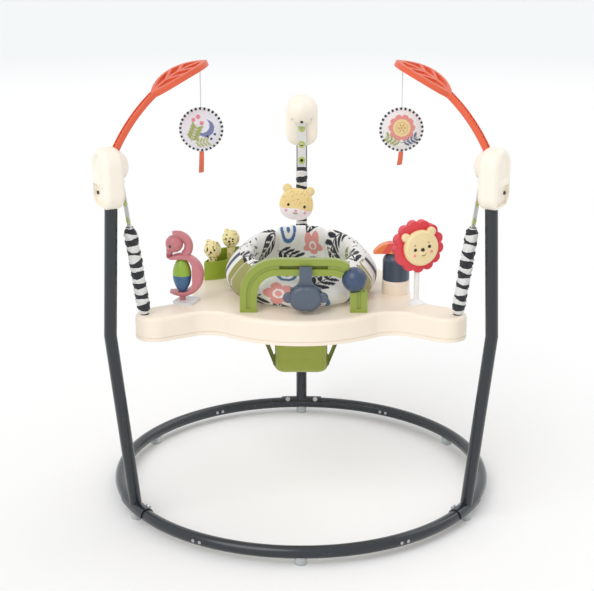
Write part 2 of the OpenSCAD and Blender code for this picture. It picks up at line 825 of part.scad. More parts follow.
module arm_tang(room) inward([root_r, 0, root_z], stem_root_deg)
    translate([-stem_tang - room, -stem_w / 2 - room, -stem_t / 2 - room])
    cube([2 * stem_tang + room, stem_w + 2 * room, stem_t + 2 * room]);

module leaf_openings() difference() {
    vesica(leaf_len - 3 * leaf_rim, leaf_w - 2 * leaf_rim);
    square([leaf_len, leaf_midrib], center = true);
    for (p = leaf_vein_places, s = [-1, 1]) translate([(p - 0.5) * leaf_len, 0])
        rotate([0, 0, s * leaf_vein_deg])
        translate([0, -leaf_vein / 2]) square([leaf_len, leaf_vein]);
}

module leaf() intersection() {
    translate([leaf_len / 2, 0, -leaf_sag]) rotate([90, 0, 0]) linear_extrude(2 * leaf_w, center = true)
        difference() {
        circle(leaf_bend_r + leaf_t / 2, $fn = 192);
        circle(leaf_bend_r - leaf_t / 2, $fn = 192);
    }
    translate([leaf_len / 2, 0, -leaf_w]) linear_extrude(2 * leaf_w) difference() {
        vesica(leaf_len, leaf_w);
        leaf_openings();
    }
}

module stem_form() difference() {
    rounded_rect(stem_t, stem_w, 2.5);
    translate([stem_t / 2 - stem_groove_t, -stem_groove_w / 2]) square([stem_t, stem_groove_w]);
}

module stem_run(from, to) rotate([90, 0, 0]) rotate([0, 0, 90 - to])
    rotate_extrude(angle = to - from, $fn = 360)
    translate([stem_bend_r, 0]) stem_form();

module stem() {
    mm_deg = 180 / PI / stem_bend_r;
    translate([0, 0, -stem_bend_r]) stem_run(-stem_tang * mm_deg, stem_turn + stem_lap * mm_deg);
}

module leaf_arm(a) color("#e2613c") station(a) {
    inward([root_r, 0, root_z], stem_root_deg) {
        stem();
        translate([0, 0, -stem_bend_r]) for (d = [2 : stem_rib_deg : stem_turn]) rotate([0, d, 0])
            translate([0, -stem_w / 2 + 2, stem_bend_r]) cube([stem_rib_t, stem_w - 4, stem_t / 2 - 1]);
    }
    inward([stem_end_r, 0, stem_end_z], leaf_deg) leaf();
}

module leaf_arm_left() leaf_arm(left_deg);
module leaf_arm_right() leaf_arm(right_deg);

// Hanging toys

function cord_ring(p) = [for (j = [0 : cord_sides - 1])
    p + cord_d / 2 * [cos(360 * j / cord_sides), sin(360 * j / cord_sides), 0]];
cord_points = [for (i = [0 : cord_rings - 1])
    each cord_ring(cord_route[0] + (cord_route[1] - cord_route[0]) * i / (cord_rings - 1))];

module toy_cord(a) color("#f0f0ee") toy_at(a) {
    sphere(knot_r);
    polyhedron(cord_points, concat(sides_of(cord_rings, cord_sides, false),
        ends_of(cord_rings, cord_sides)));
}

module toy_cord_left() toy_cord(left_deg);
module toy_cord_right() toy_cord(right_deg);

module hanging_disc(a) color("#eef0ee") toy_at(a) translate([0, 0, -cord_len - fit - disc_d / 2])
    rotate([90, 0, 0]) rotate_extrude() {
    intersection() {
        vesica(disc_d - piping_d, disc_t);
        translate([0, -disc_t]) square([disc_d, 2 * disc_t]);
    }
    translate([(disc_d - piping_d) / 2, 0]) circle(d = piping_d);
}

module hanging_disc_left() hanging_disc(left_deg);
module hanging_disc_right() hanging_disc(right_deg);

module disc_ribbon(a, length) color("#e2613c") toy_at(a)
    translate([-ribbon_w / 2, ribbon_curl_r, -cord_len - 2 * fit - disc_d]) rotate([0, 90, 0])
        rotate([0, 0, -90])
        rotate_extrude(angle = length / ribbon_curl_r * 180 / PI, $fn = 96) translate([ribbon_curl_r, 0])
            square([ribbon_t, ribbon_w]);

module disc_ribbon_left() disc_ribbon(left_deg, ribbon_left);
module disc_ribbon_right() disc_ribbon(right_deg, ribbon_right);

plush_s = (plush_z - anchor_z) / cos(line_deg);
plush_r = anchor_r + (plush_z - anchor_z) * tan(line_deg);
plush_loop_r = sleeve_d / 2 + run_gap;
plush_loop_t = 2;
plush_set = 8;
plush_loop_h = 16;

module plush_head() color("#f2d06b") {
    station(rear_deg) translate([plush_r - plush_loop_r - plush_t / 2 - plush_set, plush_side, plush_z])
        rotate([plush_roll, 0, 0]) {
        rotate([0, 90, 0]) puck(plush_w / 2, plush_t, plush_t / 2 - 0.5);
        translate([-plush_t / 2 + 6, 0, -0.16 * plush_w]) sphere(0.2 * plush_w);
        for (s = [-1, 1]) translate([0, s * 0.34 * plush_w, 0.42 * plush_w]) rotate([0, 90, 0])
            puck(0.14 * plush_w, 14, 5);
    }
    on_line(rear_deg) translate([0, 0, plush_s]) difference() {
        union() {
            cylinder(r = plush_loop_r + plush_loop_t, h = plush_loop_h, center = true);
            translate([-plush_loop_r - plush_set, 0, 0])
                cube([2 * plush_set + 12, 12, plush_loop_h], center = true);
        }
        cylinder(r = plush_loop_r, h = 2 * plush_loop_h, center = true);
    }
}

// Tray

module lobe_bar(inset, h, edge) rotate([90, 0, 90]) translate([0, 0, tray_r / 2])
    linear_extrude(lobe_r - lobe_half - tray_r / 2) {
        half = lobe_half - inset;
        translate([-half, 0]) square([2 * half, h - edge]);
        translate([-half + edge, 0]) square([2 * half - 2 * edge, h]);
        for (s = [-1, 1]) translate([s * (half - edge), h - edge]) circle(edge);
    }

module waist_cut(inset, h) {
    r = waist_r + inset;
    translate([0, 0, -cut]) cylinder(r = r, h = h + 2 * cut);
    translate([0, 0, h - waist_bevel]) cylinder(r1 = r, r2 = r + 2 * waist_bevel, h = 2 * waist_bevel);
}

module tray_mass(inset, h, edge) {
    rotate_extrude($fn = 96) edge_profile(tray_r - inset, h, edge);
    for (a = stations) rotate([0, 0, a]) {
        lobe_bar(inset, h, edge);
        translate([lobe_r - lobe_half, 0, 0]) rotate_extrude() edge_profile(lobe_half - inset, h, edge);
        difference() {
            linear_extrude(h) polygon([[0, 0], [waist_x, -waist_y], [waist_x, waist_y]]);
            for (s = [-1, 1]) translate([waist_x, s * waist_y, 0]) waist_cut(inset, h);
        }
    }
}

module tray_outline(inset) {
    circle(tray_r - inset, $fn = 96);
    for (a = stations) rotate([0, 0, a]) {
        translate([0, -lobe_half + inset]) square([lobe_r - lobe_half, lobe_w - 2 * inset]);
        translate([lobe_r - lobe_half, 0]) circle(lobe_half - inset);
        for (m = [0, 1]) mirror([0, m, 0]) difference() {
            polygon([[0, 0], [waist_x, 0], [waist_x, waist_y]]);
            translate([waist_x, waist_y]) circle(waist_r + inset);
        }
    }
}

module anchor_lugs() for (a = stations) rotate([0, 0, a]) for (s = [-1, 1])
    translate([anchor_r - anchor_bar_d, s * anchor_lug_y - anchor_lug_t / 2, anchor_z - anchor_bar_d])
        cube([2 * anchor_bar_d, anchor_lug_t, deck_low_z + tray_wall / 2 - anchor_z + anchor_bar_d]);

module deck_holes() {
    for (a = stations) rotate([0, 0, a]) translate([anchor_r, 0, anchor_z]) rotate([0, line_deg, 0]) {
        cylinder(d = anchor_hole_d, h = 3 * anchor_drop);
        rotate([90, 0, 0]) cylinder(d = anchor_bar_d + 2 * fit, h = anchor_bar_len + 2, center = true);
    }
    translate([lion_x, lion_y, tray_low_z]) cylinder(d = stud_d + 2 * fit, h = 2 * tray_h);
    translate([toucan_x, toucan_y, tray_low_z]) cylinder(d = stud_d + 2 * fit, h = 3 * tray_h);
    flamingo_studs(stud_d + 2 * fit);
    cup_studs(stud_d + 2 * fit);
    for (s = [-1, 1]) translate([arch_x + s * arch_half, arch_y, tray_z])
        cube([tenon_w + 2 * fit, tenon_t + 2 * fit, 3 * tray_wall], center = true);
}

module tray_shell() color("#ecdfcb") centre() difference() {
    union() {
        difference() {
            translate([0, 0, tray_low_z]) tray_mass(0, tray_h, tray_edge);
            translate([0, 0, tray_low_z - cut])
                tray_mass(tray_wall, tray_h - tray_wall + cut, tray_edge - tray_wall);
        }
        anchor_lugs();
        translate([0, 0, bore_low_z]) cylinder(r = bore_r + tray_wall, h = bore_depth - tray_wall / 2,
            $fn = 96);
        translate([toucan_x, toucan_y, deck_low_z]) rotate_extrude()
            edge_profile(toucan_d / 2 + 1, pedestal_h + tray_wall, 4);
    }
    translate([0, 0, tray_low_z - cut]) cylinder(r = bore_r, h = 2 * tray_h, $fn = 96);
    translate([toucan_x, toucan_y, tray_low_z])
        cylinder(d = toucan_d - 2 * tray_wall, h = tray_h + pedestal_h - tray_wall);
    deck_holes();
    translate([0, 0, tray_low_z + skirt_line_h]) linear_extrude(skirt_line_w) difference() {
        tray_outline(-cut);
        tray_outline(skirt_line_dip);
    }
}

// Arch with its slider and bead

module arch_at() centre() translate([arch_x, arch_y, tray_z]) children();

module arch_top(half, top, r) intersection() {
    union() {
        translate([-half, 0]) square([2 * half, top - r]);
        translate([-half + r, 0]) square([2 * half - 2 * r, top]);
        for (s = [-1, 1]) translate([s * (half - r), top - r]) circle(r, $fn = 96);
    }
    translate([-half, 0]) square([2 * half, top]);
}

module arch_plan(inset) difference() {
    bar = arch_bar - 2 * inset;
    arch_top(arch_half + bar / 2, arch_mid_h + bar / 2, arch_corner + bar / 2);
    translate([0, -cut]) arch_top(arch_half - bar / 2, arch_mid_h - bar / 2 + cut, arch_corner - bar / 2);
    translate([arch_half - arch_corner, arch_leg_h]) rotate([0, 0, bead_deg])
        polygon([[0, 0], bead_d * [2 / tan(bead_gap_deg), -2], bead_d * [2 / tan(bead_gap_deg), 2]]);
}

module bead_axis() translate([arch_half - arch_corner, 0, arch_leg_h]) rotate([0, -bead_deg, 0])
    translate([arch_corner, 0, 0]) children();

module toy_arch() color("#93ab33") arch_at() difference() {
    union() {
        rotate([90, 0, 0]) linear_extrude(arch_depth, center = true) arch_plan(0);
        bead_axis() cylinder(d = spindle_d, h = bead_d + 10, center = true);
        for (s = [-1, 1]) translate([s * arch_half, 0, -tray_wall])
            cube([tenon_w, tenon_t, 4 * tray_wall], center = true);
    }
    translate([0, -arch_depth / 2 + groove_dip, 0]) rotate([90, 0, 0]) linear_extrude(arch_depth)
        difference() {
        arch_plan((arch_bar - groove_w) / 2);
        translate([-arch_w, -cut]) square([2 * arch_w, groove_low + cut]);
    }
    translate([-slot_len / 2, -arch_depth, arch_mid_h - slot_neck / 2])
        cube([slot_len, arch_depth / 2 + slot_neck_dip, slot_neck]);
    translate([-slot_len / 2, -arch_depth / 2 + slot_neck_dip, arch_mid_h - slot_head / 2])
        cube([slot_len, slot_head_dip, slot_head]);
}

module arch_slider() color("#4d5a6b") arch_at() translate([slider_x, -arch_depth / 2, arch_mid_h]) {
    key_front = slider_post_t / 2;
    translate([-slider_key_len / 2, -key_front, -slot_neck / 2 + slide_gap])
        cube([slider_key_len, key_front + slot_neck_dip + slide_gap + 1, slot_neck - 2 * slide_gap]);
    translate([-slider_key_len / 2, slot_neck_dip + slide_gap, -slot_head / 2 + slide_gap])
        cube([slider_key_len, slot_head_dip - 2 * slide_gap, slot_head - 2 * slide_gap]);
    translate([-slider_post_w / 2, -slide_gap - slider_post_t, -slider_head_drop])
        cube([slider_post_w, slider_post_t, slider_head_drop + slot_neck / 2]);
    translate([0, -slide_gap, -slider_head_drop + 10]) rotate([90, 0, 0]) linear_extrude(slider_post_t)
        difference() {
        flare_w = slider_post_w / 2 + slider_flare_r;
        translate([-flare_w, 0]) square([2 * flare_w, slider_flare_r + 10]);
        for (s = [-1, 1]) translate([s * flare_w, slider_flare_r + 10]) circle(slider_flare_r);
    }
    translate([0, -slide_gap - slider_head_t / 2, -slider_head_drop]) rotate([90, 0, 0]) {
        for (x = [-6, 6]) translate([x, 0, 0]) puck(slider_head_r, slider_head_t, 9);
        for (s = [-1, 1]) translate([s * (slider_head_r + 8), 2, 0])
            puck(slider_ear_r, slider_head_t / 2, 5);
    }
}

module arch_bead() color("#27324f") arch_at() bead_axis() difference() {
    intersection() {
        sphere(d = bead_d);
        cylinder(d = bead_flat_d / cos(180 / bead_flats), h = bead_d, center = true, $fn = bead_flats);
    }
    cylinder(d = spindle_d + 2 * shaft_gap, h = 2 * bead_d, center = true);
}

// Flamingo with its egg roller

module flamingo_at() centre() translate([flamingo_x, flamingo_y, 0]) children();
module flamingo_studs(d) translate([flamingo_x + 8, flamingo_y, tray_low_z + tray_h / 2])
    rotate([0, 0, flamingo_base_yaw])
    for (s = [-1, 1]) translate([s * 12, 0, 0]) cylinder(d = d, h = tray_h);

module flamingo_base() color("#d9dcda") flamingo_at() translate([8, 0, tray_z])
    rotate([0, 0, flamingo_base_yaw]) {
    linear_extrude(flamingo_base_t) rounded_rect(flamingo_base_w, flamingo_base_l, 6);
    for (s = [-1, 1]) translate([s * 12, 0, -stud_len]) cylinder(d = stud_d, h = stud_len + 1);
}

module curl(r, t, from, to) rotate([90, 0, 0]) rotate([0, 0, from]) rotate_extrude(angle = to - from)
    translate([r, 0]) circle(d = t);

module flamingo_body() color("#d9868d") flamingo_at() difference() {
    translate([0, 0, flamingo_z]) {
        difference() {
            rotate([90, 0, 0]) puck(flamingo_r, flamingo_t, flamingo_edge);
            rotate([90, 0, 0]) linear_extrude(2 * flamingo_t, center = true) {
                rounded_rect(egg_d + 4, 2 * egg_half + 2, egg_d / 2);
                translate([-2 * flamingo_r - flamingo_open, -egg_half])
                    square([2 * flamingo_r, 2 * egg_half]);
                translate([-2 * flamingo_r - flamingo_horn, -flamingo_r]) square(2 * flamingo_r);
            }
        }
        translate([neck_x, 0, neck_rise]) {
            curl(neck_r, neck_t, -52, 108);
            translate([-head_set, 0, neck_head]) sphere(flamingo_head_r);
            translate([-head_set - 8, 0, -4]) rotate([0, 192, 0]) cylinder(r1 = 9, r2 = 4, h = 22);
        }
        translate([0, 0, -flamingo_r - flamingo_lift])
            cylinder(d = flamingo_foot_d, h = flamingo_lift + 4);
    }
    translate([0, 0, flamingo_z]) cylinder(d = roller_pin_d + 2 * fit, h = 2 * flamingo_r - 3,
        center = true);
}

module roller_pin() color("#b9bcc0") flamingo_at() translate([0, 0, flamingo_z])
    cylinder(d = roller_pin_d, h = 2 * flamingo_r - 4, center = true);

module egg(from, to) flamingo_at() translate([0, 0, flamingo_z]) difference() {
    rotate_extrude() intersection() {
        rotate([0, 0, 90]) vesica(2 * egg_half + 16, egg_d);
        translate([0, from]) square([egg_d, to - from]);
    }
    cylinder(d = roller_pin_d + 2 * shaft_gap, h = 4 * egg_half, center = true);
}

module roller_cap() color("#7fa34a") egg(0, egg_half);
module roller_cup() color("#3d6f9a") egg(-egg_half, 0);

// Lion

module lion_at() centre() translate([lion_x, lion_y, tray_z]) children();

module lion_post() color("#f2f2f0") lion_at() {
    shaft = lion_h - mane_d / 2 - run_gap;
    rotate_extrude() polygon([[0, -stud_len], [stud_d / 2, -stud_len], [stud_d / 2, 0],
        [post_foot_d / 2, 0], [post_foot_d / 2, 2],
        [post_d / 2, post_foot_h], [post_d / 2, shaft], [post_pin_d / 2, shaft],
            [post_pin_d / 2, shaft + post_pin_hold], [0, shaft + post_pin_hold]]);
}

module lion_head_at() lion_at() translate([0, 0, lion_h]) rotate([0, 0, lion_yaw]) children();

module lion_mane() color("#d9363e") lion_head_at() difference() {
    rotate([90, 0, 0]) linear_extrude(mane_t, center = true) {
        circle(mane_d / 2 - mane_lobe_r);
        for (i = [0 : mane_lobes - 1]) rotate([0, 0, 270 + 360 * i / mane_lobes])
            translate([mane_d / 2 - mane_lobe_r, 0]) circle(mane_lobe_r);
    }
    translate([0, 0, -mane_d]) cylinder(d = post_pin_d + 2 * shaft_gap,
        h = mane_d / 2 + post_pin_hold + 1);
}

module lion_face() color("#f3dfa3") lion_head_at() translate([0, -mane_t / 2 - face_t / 2, 0])
    rotate([90, 0, 0]) rotate([0, 0, face_roll]) {
    puck(face_d / 2, face_t, 6);
    for (s = [-1, 1]) translate([s * 0.38 * face_d, 0.38 * face_d, -2]) puck(ear_r, face_t - 4, 4);
    translate([0, -0.14 * face_d, face_t / 2 + 3.6 - muzzle_r]) sphere(muzzle_r);
}

// Toucan

module toucan_at() centre() translate([toucan_x, toucan_y, tray_z + pedestal_h]) children();

module toucan_body() color("#3f5066") toucan_at() {
    rotate_extrude() edge_profile(toucan_d / 2, toucan_h, toucan_d / 2 - 10);
    translate([0, 0, -stud_len]) cylinder(d = stud_d, h = stud_len + 1);
}

module toucan_beak() color("#e98a3a") toucan_at() translate([beak_x, 0, toucan_h]) rotate([90, 0, 0])
    linear_extrude(beak_t, center = true) intersection() {
        translate([0, beak_h - beak_r]) circle(beak_r);
        translate([-beak_r, 0]) square([2 * beak_r, beak_h]);
    }

// Leaf cup with two cubs

module cup_at() centre() translate([cup_x, cup_y, tray_z]) rotate([0, 0, cup_yaw]) children();
module cup_studs(d) translate([cup_x, cup_y, tray_low_z + tray_h / 2]) rotate([0, 0, cup_yaw])
    for (s = [-1, 1]) translate([s * cub_x, 0, 0]) cylinder(d = d, h = tray_h);

module leaf_cup() color("#9bb032") cup_at() {
    difference() {
        union() {
            linear_extrude(cup_h) vesica(cup_len, cup_w);
            linear_extrude(cup_back_h) intersection() {
                vesica(cup_len, cup_w);
                square(cup_len);
            }
        }
        translate([0, 0, cup_wall]) linear_extrude(cup_back_h)
            vesica(cup_len - 3 * cup_wall, cup_w - 2 * cup_wall);
    }
    for (s = [-1, 1]) translate([s * cub_x, 0, -stud_len]) cylinder(d = stud_d, h = stud_len + 1);
}

module leaf_cubs() color("#e8cf7a") cup_at() for (s = [-1, 1]) translate([s * cub_x, 0, 0]) {
    translate([0, 0, cup_wall]) cylinder(d = cub_body_d, h = cub_h - cup_wall + (s + 1) / 2 * cub_step);
    translate([0, 0, cub_h + (s + 1) / 2 * cub_step]) {
        sphere(d = cub_d);
        for (e = [-1, 1]) translate([0, e * 0.32 * cub_d, 0.4 * cub_d]) sphere(d = 0.3 * cub_d);
    }
}

// Seat

module seat_ring() color("#d9d4c8") centre() rotate_extrude($fn = 96)
    polygon([[barrel_in_r, bore_low_z - run_gap], [barrel_r, bore_low_z - run_gap],
    [barrel_r, flange_z], [flange_d / 2, flange_z], [flange_d / 2, flange_top],
        [barrel_in_r, flange_top]]);

module seat_retainer() color("#d9d4c8") centre() translate([0, 0, bore_low_z - run_gap - seat_ring_t])
    difference() {
    cylinder(r = bore_r + retainer_lip, h = seat_ring_t, $fn = 96);
    translate([0, 0, -cut]) cylinder(r = barrel_in_r, h = seat_ring_t + 2 * cut, $fn = 96);
}

function pad_back(a) = (1 + sin(a)) / 2;
function pad_half(a) = (collar_h + pad_sink + collar_rise * pad_back(a)) / 2;
function pad_point(a, t) = let (swell = collar_w / 2 - pad_back(a) * pad_back_tuck,
    r = pad_mid_r + swell * cos(t) - pad_lean * max(0, sin(t)))
    [r * cos(a), r * sin(a), pad_low_z + max(0, pad_half(a) * (1 + sin(t)) - pad_sink)];
pad_points = [for (i = [0 : pad_steps - 1], j = [0 : pad_sides - 1])
    pad_point(360 * i / pad_steps, 360 * (j + 0.5) / pad_sides)];

module seat_pad() color("#f0efea") centre() polyhedron(pad_points, sides_of(pad_steps, pad_sides, true));

module bag_form(inset) hull() {
    translate([0, 0, hem_top_z - hem_h]) cylinder(r = hem_r - inset, h = hem_h + 2 * inset, $fn = 32);
    translate([0, 0, bag_low_z + inset]) linear_extrude(1)
        rounded_rect(bag_w - 2 * inset, bag_l - 2 * inset, bag_corner - inset, $fn = 32);
}

module seat_bag() color("#8a9c35") centre() difference() {
    bag_form(0);
    bag_form(bag_t);
    for (i = [0, 1], j = [0, 1]) mirror([i, 0, 0]) mirror([0, j, 0])
        translate([panel_w / 2, side_strap_w / 2, bag_low_z + hem_h])
        cube([2 * hem_r, 2 * hem_r, hem_top_z - bag_low_z - 2 * hem_h]);
}

base_arc_front();
base_arc_rear();
base_arc_left();
base_arc_right();
snap_pins();
leg_left();
leg_right();
leg_rear();
leg_bolts();
foot_pads();
foot_screws();
hub_inner_left();
hub_inner_right();
hub_inner_rear();
hub_outer_left();
hub_outer_right();
hub_outer_rear();
hub_screws();
strap_pegs();
height_strap_left();
height_strap_right();
height_strap_rear();
strap_eyelets();
strap_anchors();
spring_left();
spring_right();
spring_rear();
spring_sleeve_left();
spring_sleeve_right();
spring_sleeve_rear();
spring_anchors();
leaf_arm_left();
leaf_arm_right();
toy_cord_left();
toy_cord_right();
hanging_disc_left();
hanging_disc_right();
disc_ribbon_left();
disc_ribbon_right();
plush_head();
tray_shell();
toy_arch();
arch_slider();
arch_bead();
flamingo_base();
flamingo_body();
roller_pin();
roller_cap();
roller_cup();
lion_post();
lion_mane();
lion_face();
toucan_body();
toucan_beak();
leaf_cup();
leaf_cubs();
seat_ring();
seat_retainer();
seat_pad();
seat_bag();
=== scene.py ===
"""Looks of a free-standing baby jumper: finishes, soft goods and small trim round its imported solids.

Lengths in the classes are millimetres from the middle of the floor ring. Layout turns them into metres in
the shared frame, so each piece lies where its solid lies.
"""

import json
import logging
import math
import random
from dataclasses import dataclass
from enum import Enum
from typing import Optional, Sequence, Union

import bmesh
import bpy
import numpy as np
from mathutils import Matrix, Vector

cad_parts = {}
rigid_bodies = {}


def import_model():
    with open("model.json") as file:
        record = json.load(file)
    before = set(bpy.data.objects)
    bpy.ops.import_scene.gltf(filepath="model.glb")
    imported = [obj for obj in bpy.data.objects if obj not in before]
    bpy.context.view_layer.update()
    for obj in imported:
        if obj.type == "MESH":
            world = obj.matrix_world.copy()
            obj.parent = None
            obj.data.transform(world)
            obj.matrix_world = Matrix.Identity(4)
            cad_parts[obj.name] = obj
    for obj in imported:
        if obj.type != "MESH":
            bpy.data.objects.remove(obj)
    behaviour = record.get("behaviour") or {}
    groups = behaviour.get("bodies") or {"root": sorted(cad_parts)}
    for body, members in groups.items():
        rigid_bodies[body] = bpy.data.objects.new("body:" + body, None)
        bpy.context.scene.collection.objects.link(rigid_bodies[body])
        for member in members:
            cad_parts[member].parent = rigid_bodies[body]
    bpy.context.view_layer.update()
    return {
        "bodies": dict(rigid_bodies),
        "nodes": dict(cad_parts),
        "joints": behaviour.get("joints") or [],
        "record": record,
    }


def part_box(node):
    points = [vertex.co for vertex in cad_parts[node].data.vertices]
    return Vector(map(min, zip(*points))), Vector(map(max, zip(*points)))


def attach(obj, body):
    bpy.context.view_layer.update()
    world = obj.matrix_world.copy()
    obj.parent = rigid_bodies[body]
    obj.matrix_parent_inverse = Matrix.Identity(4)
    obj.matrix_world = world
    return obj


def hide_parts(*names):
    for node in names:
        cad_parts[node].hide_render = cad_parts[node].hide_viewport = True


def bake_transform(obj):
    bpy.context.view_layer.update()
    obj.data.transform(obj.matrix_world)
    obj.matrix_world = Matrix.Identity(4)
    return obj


LOG = logging.getLogger("jumper")
MM = 0.001
MM_IN_METRE = 1000.0
TAU = 2.0 * math.pi
PRINT_LAYER = "print"
# The length after which a wave texture of scale one repeats.
WAVE_PERIOD = TAU / 20.0

Socket = bpy.types.NodeSocket
Colour = tuple[float, float, float, float]
Pair = tuple[float, float]
Triple = tuple[float, float, float]
Mapped = tuple[list[list[int]], list[Pair]]


class Station(Enum):
    """The three corners of the jumper, by their bearing in degrees."""

    LEFT = 210.0
    RIGHT = 330.0
    REAR = 90.0

    @property
    def tag(self) -> str:
        """The corner's word in node names."""
        return self.name.lower()


class Wrap(Enum):
    """Whether a grid's rows and columns close on themselves."""

    OPEN = (False, False)
    COLUMNS = (False, True)
    BOTH = (True, True)


class ClothGround(Enum):
    """Where a cloth takes its colour from."""

    PLAIN = "plain"
    PRINT = "print"
    BANDS = "bands"
    CHECKS = "checks"


class Motif(Enum):
    """What the collar's print is made of."""

    LEAF = "leaf"
    SMALL_LEAF = "small leaf"
    SPRIG = "sprig"
    FLOWER = "flower"
    RING = "ring"
    DOTS = "dots"


def circle(count: int) -> np.ndarray:
    """Angles of evenly spaced points round a full turn, in radians."""
    return np.linspace(0.0, TAU, count, endpoint=False)


def globe(rows: int, cols: int) -> tuple[np.ndarray, np.ndarray]:
    """A column of latitudes that stop just short of the poles, and a row of longitudes."""
    reach = math.pi / 2 - 0.004
    return np.linspace(-reach, reach, rows)[:, None], circle(cols)[None, :]


def unit(vectors: np.ndarray) -> np.ndarray:
    """Vectors along the last axis, brought to a length of one."""
    return vectors / np.linalg.norm(vectors, axis=-1, keepdims=True)


def power(value: np.ndarray, exponent: float) -> np.ndarray:
    """A signed power, which squares off a round section."""
    return np.sign(value) * np.abs(value) ** exponent


def to_linear(code: str) -> Colour:
    """Turns an sRGB hex colour into linear values.

    Args:
        code: six hex digits after a hash mark.

    Returns:
        Linear red, green, blue and an alpha of one.
    """
    parts = [int(code[i : i + 2], 16) / 255.0 for i in (1, 3, 5)]
    made = [c / 12.92 if c <= 0.04045 else ((c + 0.055) / 1.055) ** 2.4 for c in parts]
    return (made[0], made[1], made[2], 1.0)


def shade(code: str, factor: float) -> Colour:
    """A hex colour in linear values, made darker or lighter by a factor."""
    r, g, b, a = to_linear(code)
    return (min(r * factor, 1.0), min(g * factor, 1.0), min(b * factor, 1.0), a)


def add(
    tree: bpy.types.NodeTree, kind: str, inputs: Optional[dict] = None, **settings: str
) -> bpy.types.Node:
    """Adds one node with its settings, its values and its links.

    Args:
        tree: the tree that takes the node.
        kind: Blender's name of the node type.
        inputs: values or output sockets by input name or number.
        settings: properties of the node itself.

    Returns:
        The new node.
    """
    made = tree.nodes.new(kind)
    for key, value in settings.items():
        setattr(made, key, value)
    for key, value in (inputs or {}).items():
        if isinstance(value, Socket):
            tree.links.new(value, made.inputs[key])
        else:
            made.inputs[key].default_value = value
    return made


class Surface:
    """One material's node tree, with the steps that the finishes share."""

    def __init__(self, name: str) -> None:
        """Starts an empty node material with its coordinates.

        Args:
            name: the material's name.
        """
        self.material = bpy.data.materials.new(name)
        self.material.use_nodes = True
        self.tree = self.material.node_tree
        self.tree.nodes.clear()
        coordinates = add(self.tree, "ShaderNodeTexCoord").outputs
        self.place = coordinates["Object"]
        self.flat = coordinates["UV"]

    def noise(self, per_metre: float, detail: float, place: Optional[Socket] = None) -> Socket:
        """Noise over the piece, or over other coordinates where they are given."""
        inputs = {"Vector": self.place if place is None else place, "Scale": per_metre, "Detail": detail}
        return add(self.tree, "ShaderNodeTexNoise", inputs).outputs[0]

    def printed(self) -> Socket:
        """The colours painted on the piece's points."""
        return add(self.tree, "ShaderNodeAttribute", attribute_name=PRINT_LAYER).outputs["Color"]

    def mix(self, share: Union[Socket, float], first: Union[Socket, Colour], second: Union[Socket, Colour],
            blend: str = "MIX") -> Socket:
        """Two colours blended by a share."""
        inputs = {0: share, 6: first, 7: second}
        return add(self.tree, "ShaderNodeMix", inputs, data_type="RGBA", blend_type=blend).outputs[2]

    def tones(self, share: Socket, code: str, darker: float, lighter: float) -> Socket:
        """A colour that wanders between two tones of itself."""
        return self.mix(share, shade(code, darker), shade(code, lighter))

    def ranged(self, value: Socket, low: float, high: float) -> Socket:
        """A value from nought to one, spread between two limits."""
        inputs = {"Value": value, "To Min": low, "To Max": high}
        return add(self.tree, "ShaderNodeMapRange", inputs).outputs[0]

    def bump(self, height: Socket, strength: float, depth_mm: float) -> Socket:
        """A fine relief with a depth in millimetres."""
        inputs = {"Height": height, "Strength": strength, "Distance": depth_mm * MM}
        return add(self.tree, "ShaderNodeBump", inputs).outputs[0]

    def calc(self, operation: str, *values: Union[Socket, float]) -> Socket:
        """One sum on sockets and numbers."""
        return add(self.tree, "ShaderNodeMath", dict(enumerate(values)), operation=operation).outputs[0]

    def finish(self, colour: Socket, roughness: Union[Socket, float],
               more: Optional[dict] = None) -> bpy.types.Material:
        """Ends the tree in a surface shader.

        Args:
            colour: the base colour.
            roughness: the roughness.
            more: further values or sockets by input name.

        Returns:
            The finished material.
        """
        inputs = {"Base Color": colour, "Roughness": roughness, **(more or {})}
        skin = add(self.tree, "ShaderNodeBsdfPrincipled", inputs)
        add(self.tree, "ShaderNodeOutputMaterial", {"Surface": skin.outputs[0]})
        return self.material


@dataclass(frozen=True)
class MouldedPlastic:
    """Injection-moulded plastic: even colour, faint flow mottle, satin gloss over a fine eroded grain.

    The grain is finer than a pixel on the real shell, so it is drawn at about twice its width.
    """

    name: str
    colour: str
    roughness: float = 0.36
    mottle_mm: float = 60.0
    tint: float = 0.05
    grain_mm: float = 1.8
    grain_depth_mm: float = 0.05

    def build(self) -> bpy.types.Material:
        """Builds the material."""
        made = Surface(self.name)
        flow = made.noise(MM_IN_METRE / self.mottle_mm, detail=2.0)
        tone = made.tones(flow, self.colour, 1.0 - self.tint, 1.0 + self.tint)
        grain = made.noise(MM_IN_METRE / self.grain_mm, detail=3.0)
        gloss = made.ranged(grain, self.roughness - 0.05, self.roughness + 0.07)
        relief = made.bump(grain, 0.25, self.grain_depth_mm)
        film = {"Normal": relief, "IOR": 1.49, "Coat Weight": 0.15, "Coat Roughness": 0.25}
        return made.finish(tone, gloss, film)


@dataclass(frozen=True)
class CoatedSteel:
    """Powder-coated steel tube: dark semi-gloss film with the slight orange peel of baked powder."""

    name: str
    colour: str
    roughness: float = 0.3
    peel_mm: float = 2.4
    peel_depth_mm: float = 0.06
    clouds_per_m: float = 18.0

    def build(self) -> bpy.types.Material:
        """Builds the material."""
        made = Surface(self.name)
        cloud = made.noise(self.clouds_per_m, detail=3.0)
        tone = made.tones(cloud, self.colour, darker=0.86, lighter=1.16)
        peel = made.noise(MM_IN_METRE / self.peel_mm, detail=1.0)
        relief = made.bump(peel, 0.3, self.peel_depth_mm)
        gloss = made.ranged(cloud, self.roughness - 0.05, self.roughness + 0.08)
        film = {"Normal": relief, "Coat Weight": 0.4, "Coat Roughness": 0.1, "Specular IOR Level": 0.4}
        return made.finish(tone, gloss, film)


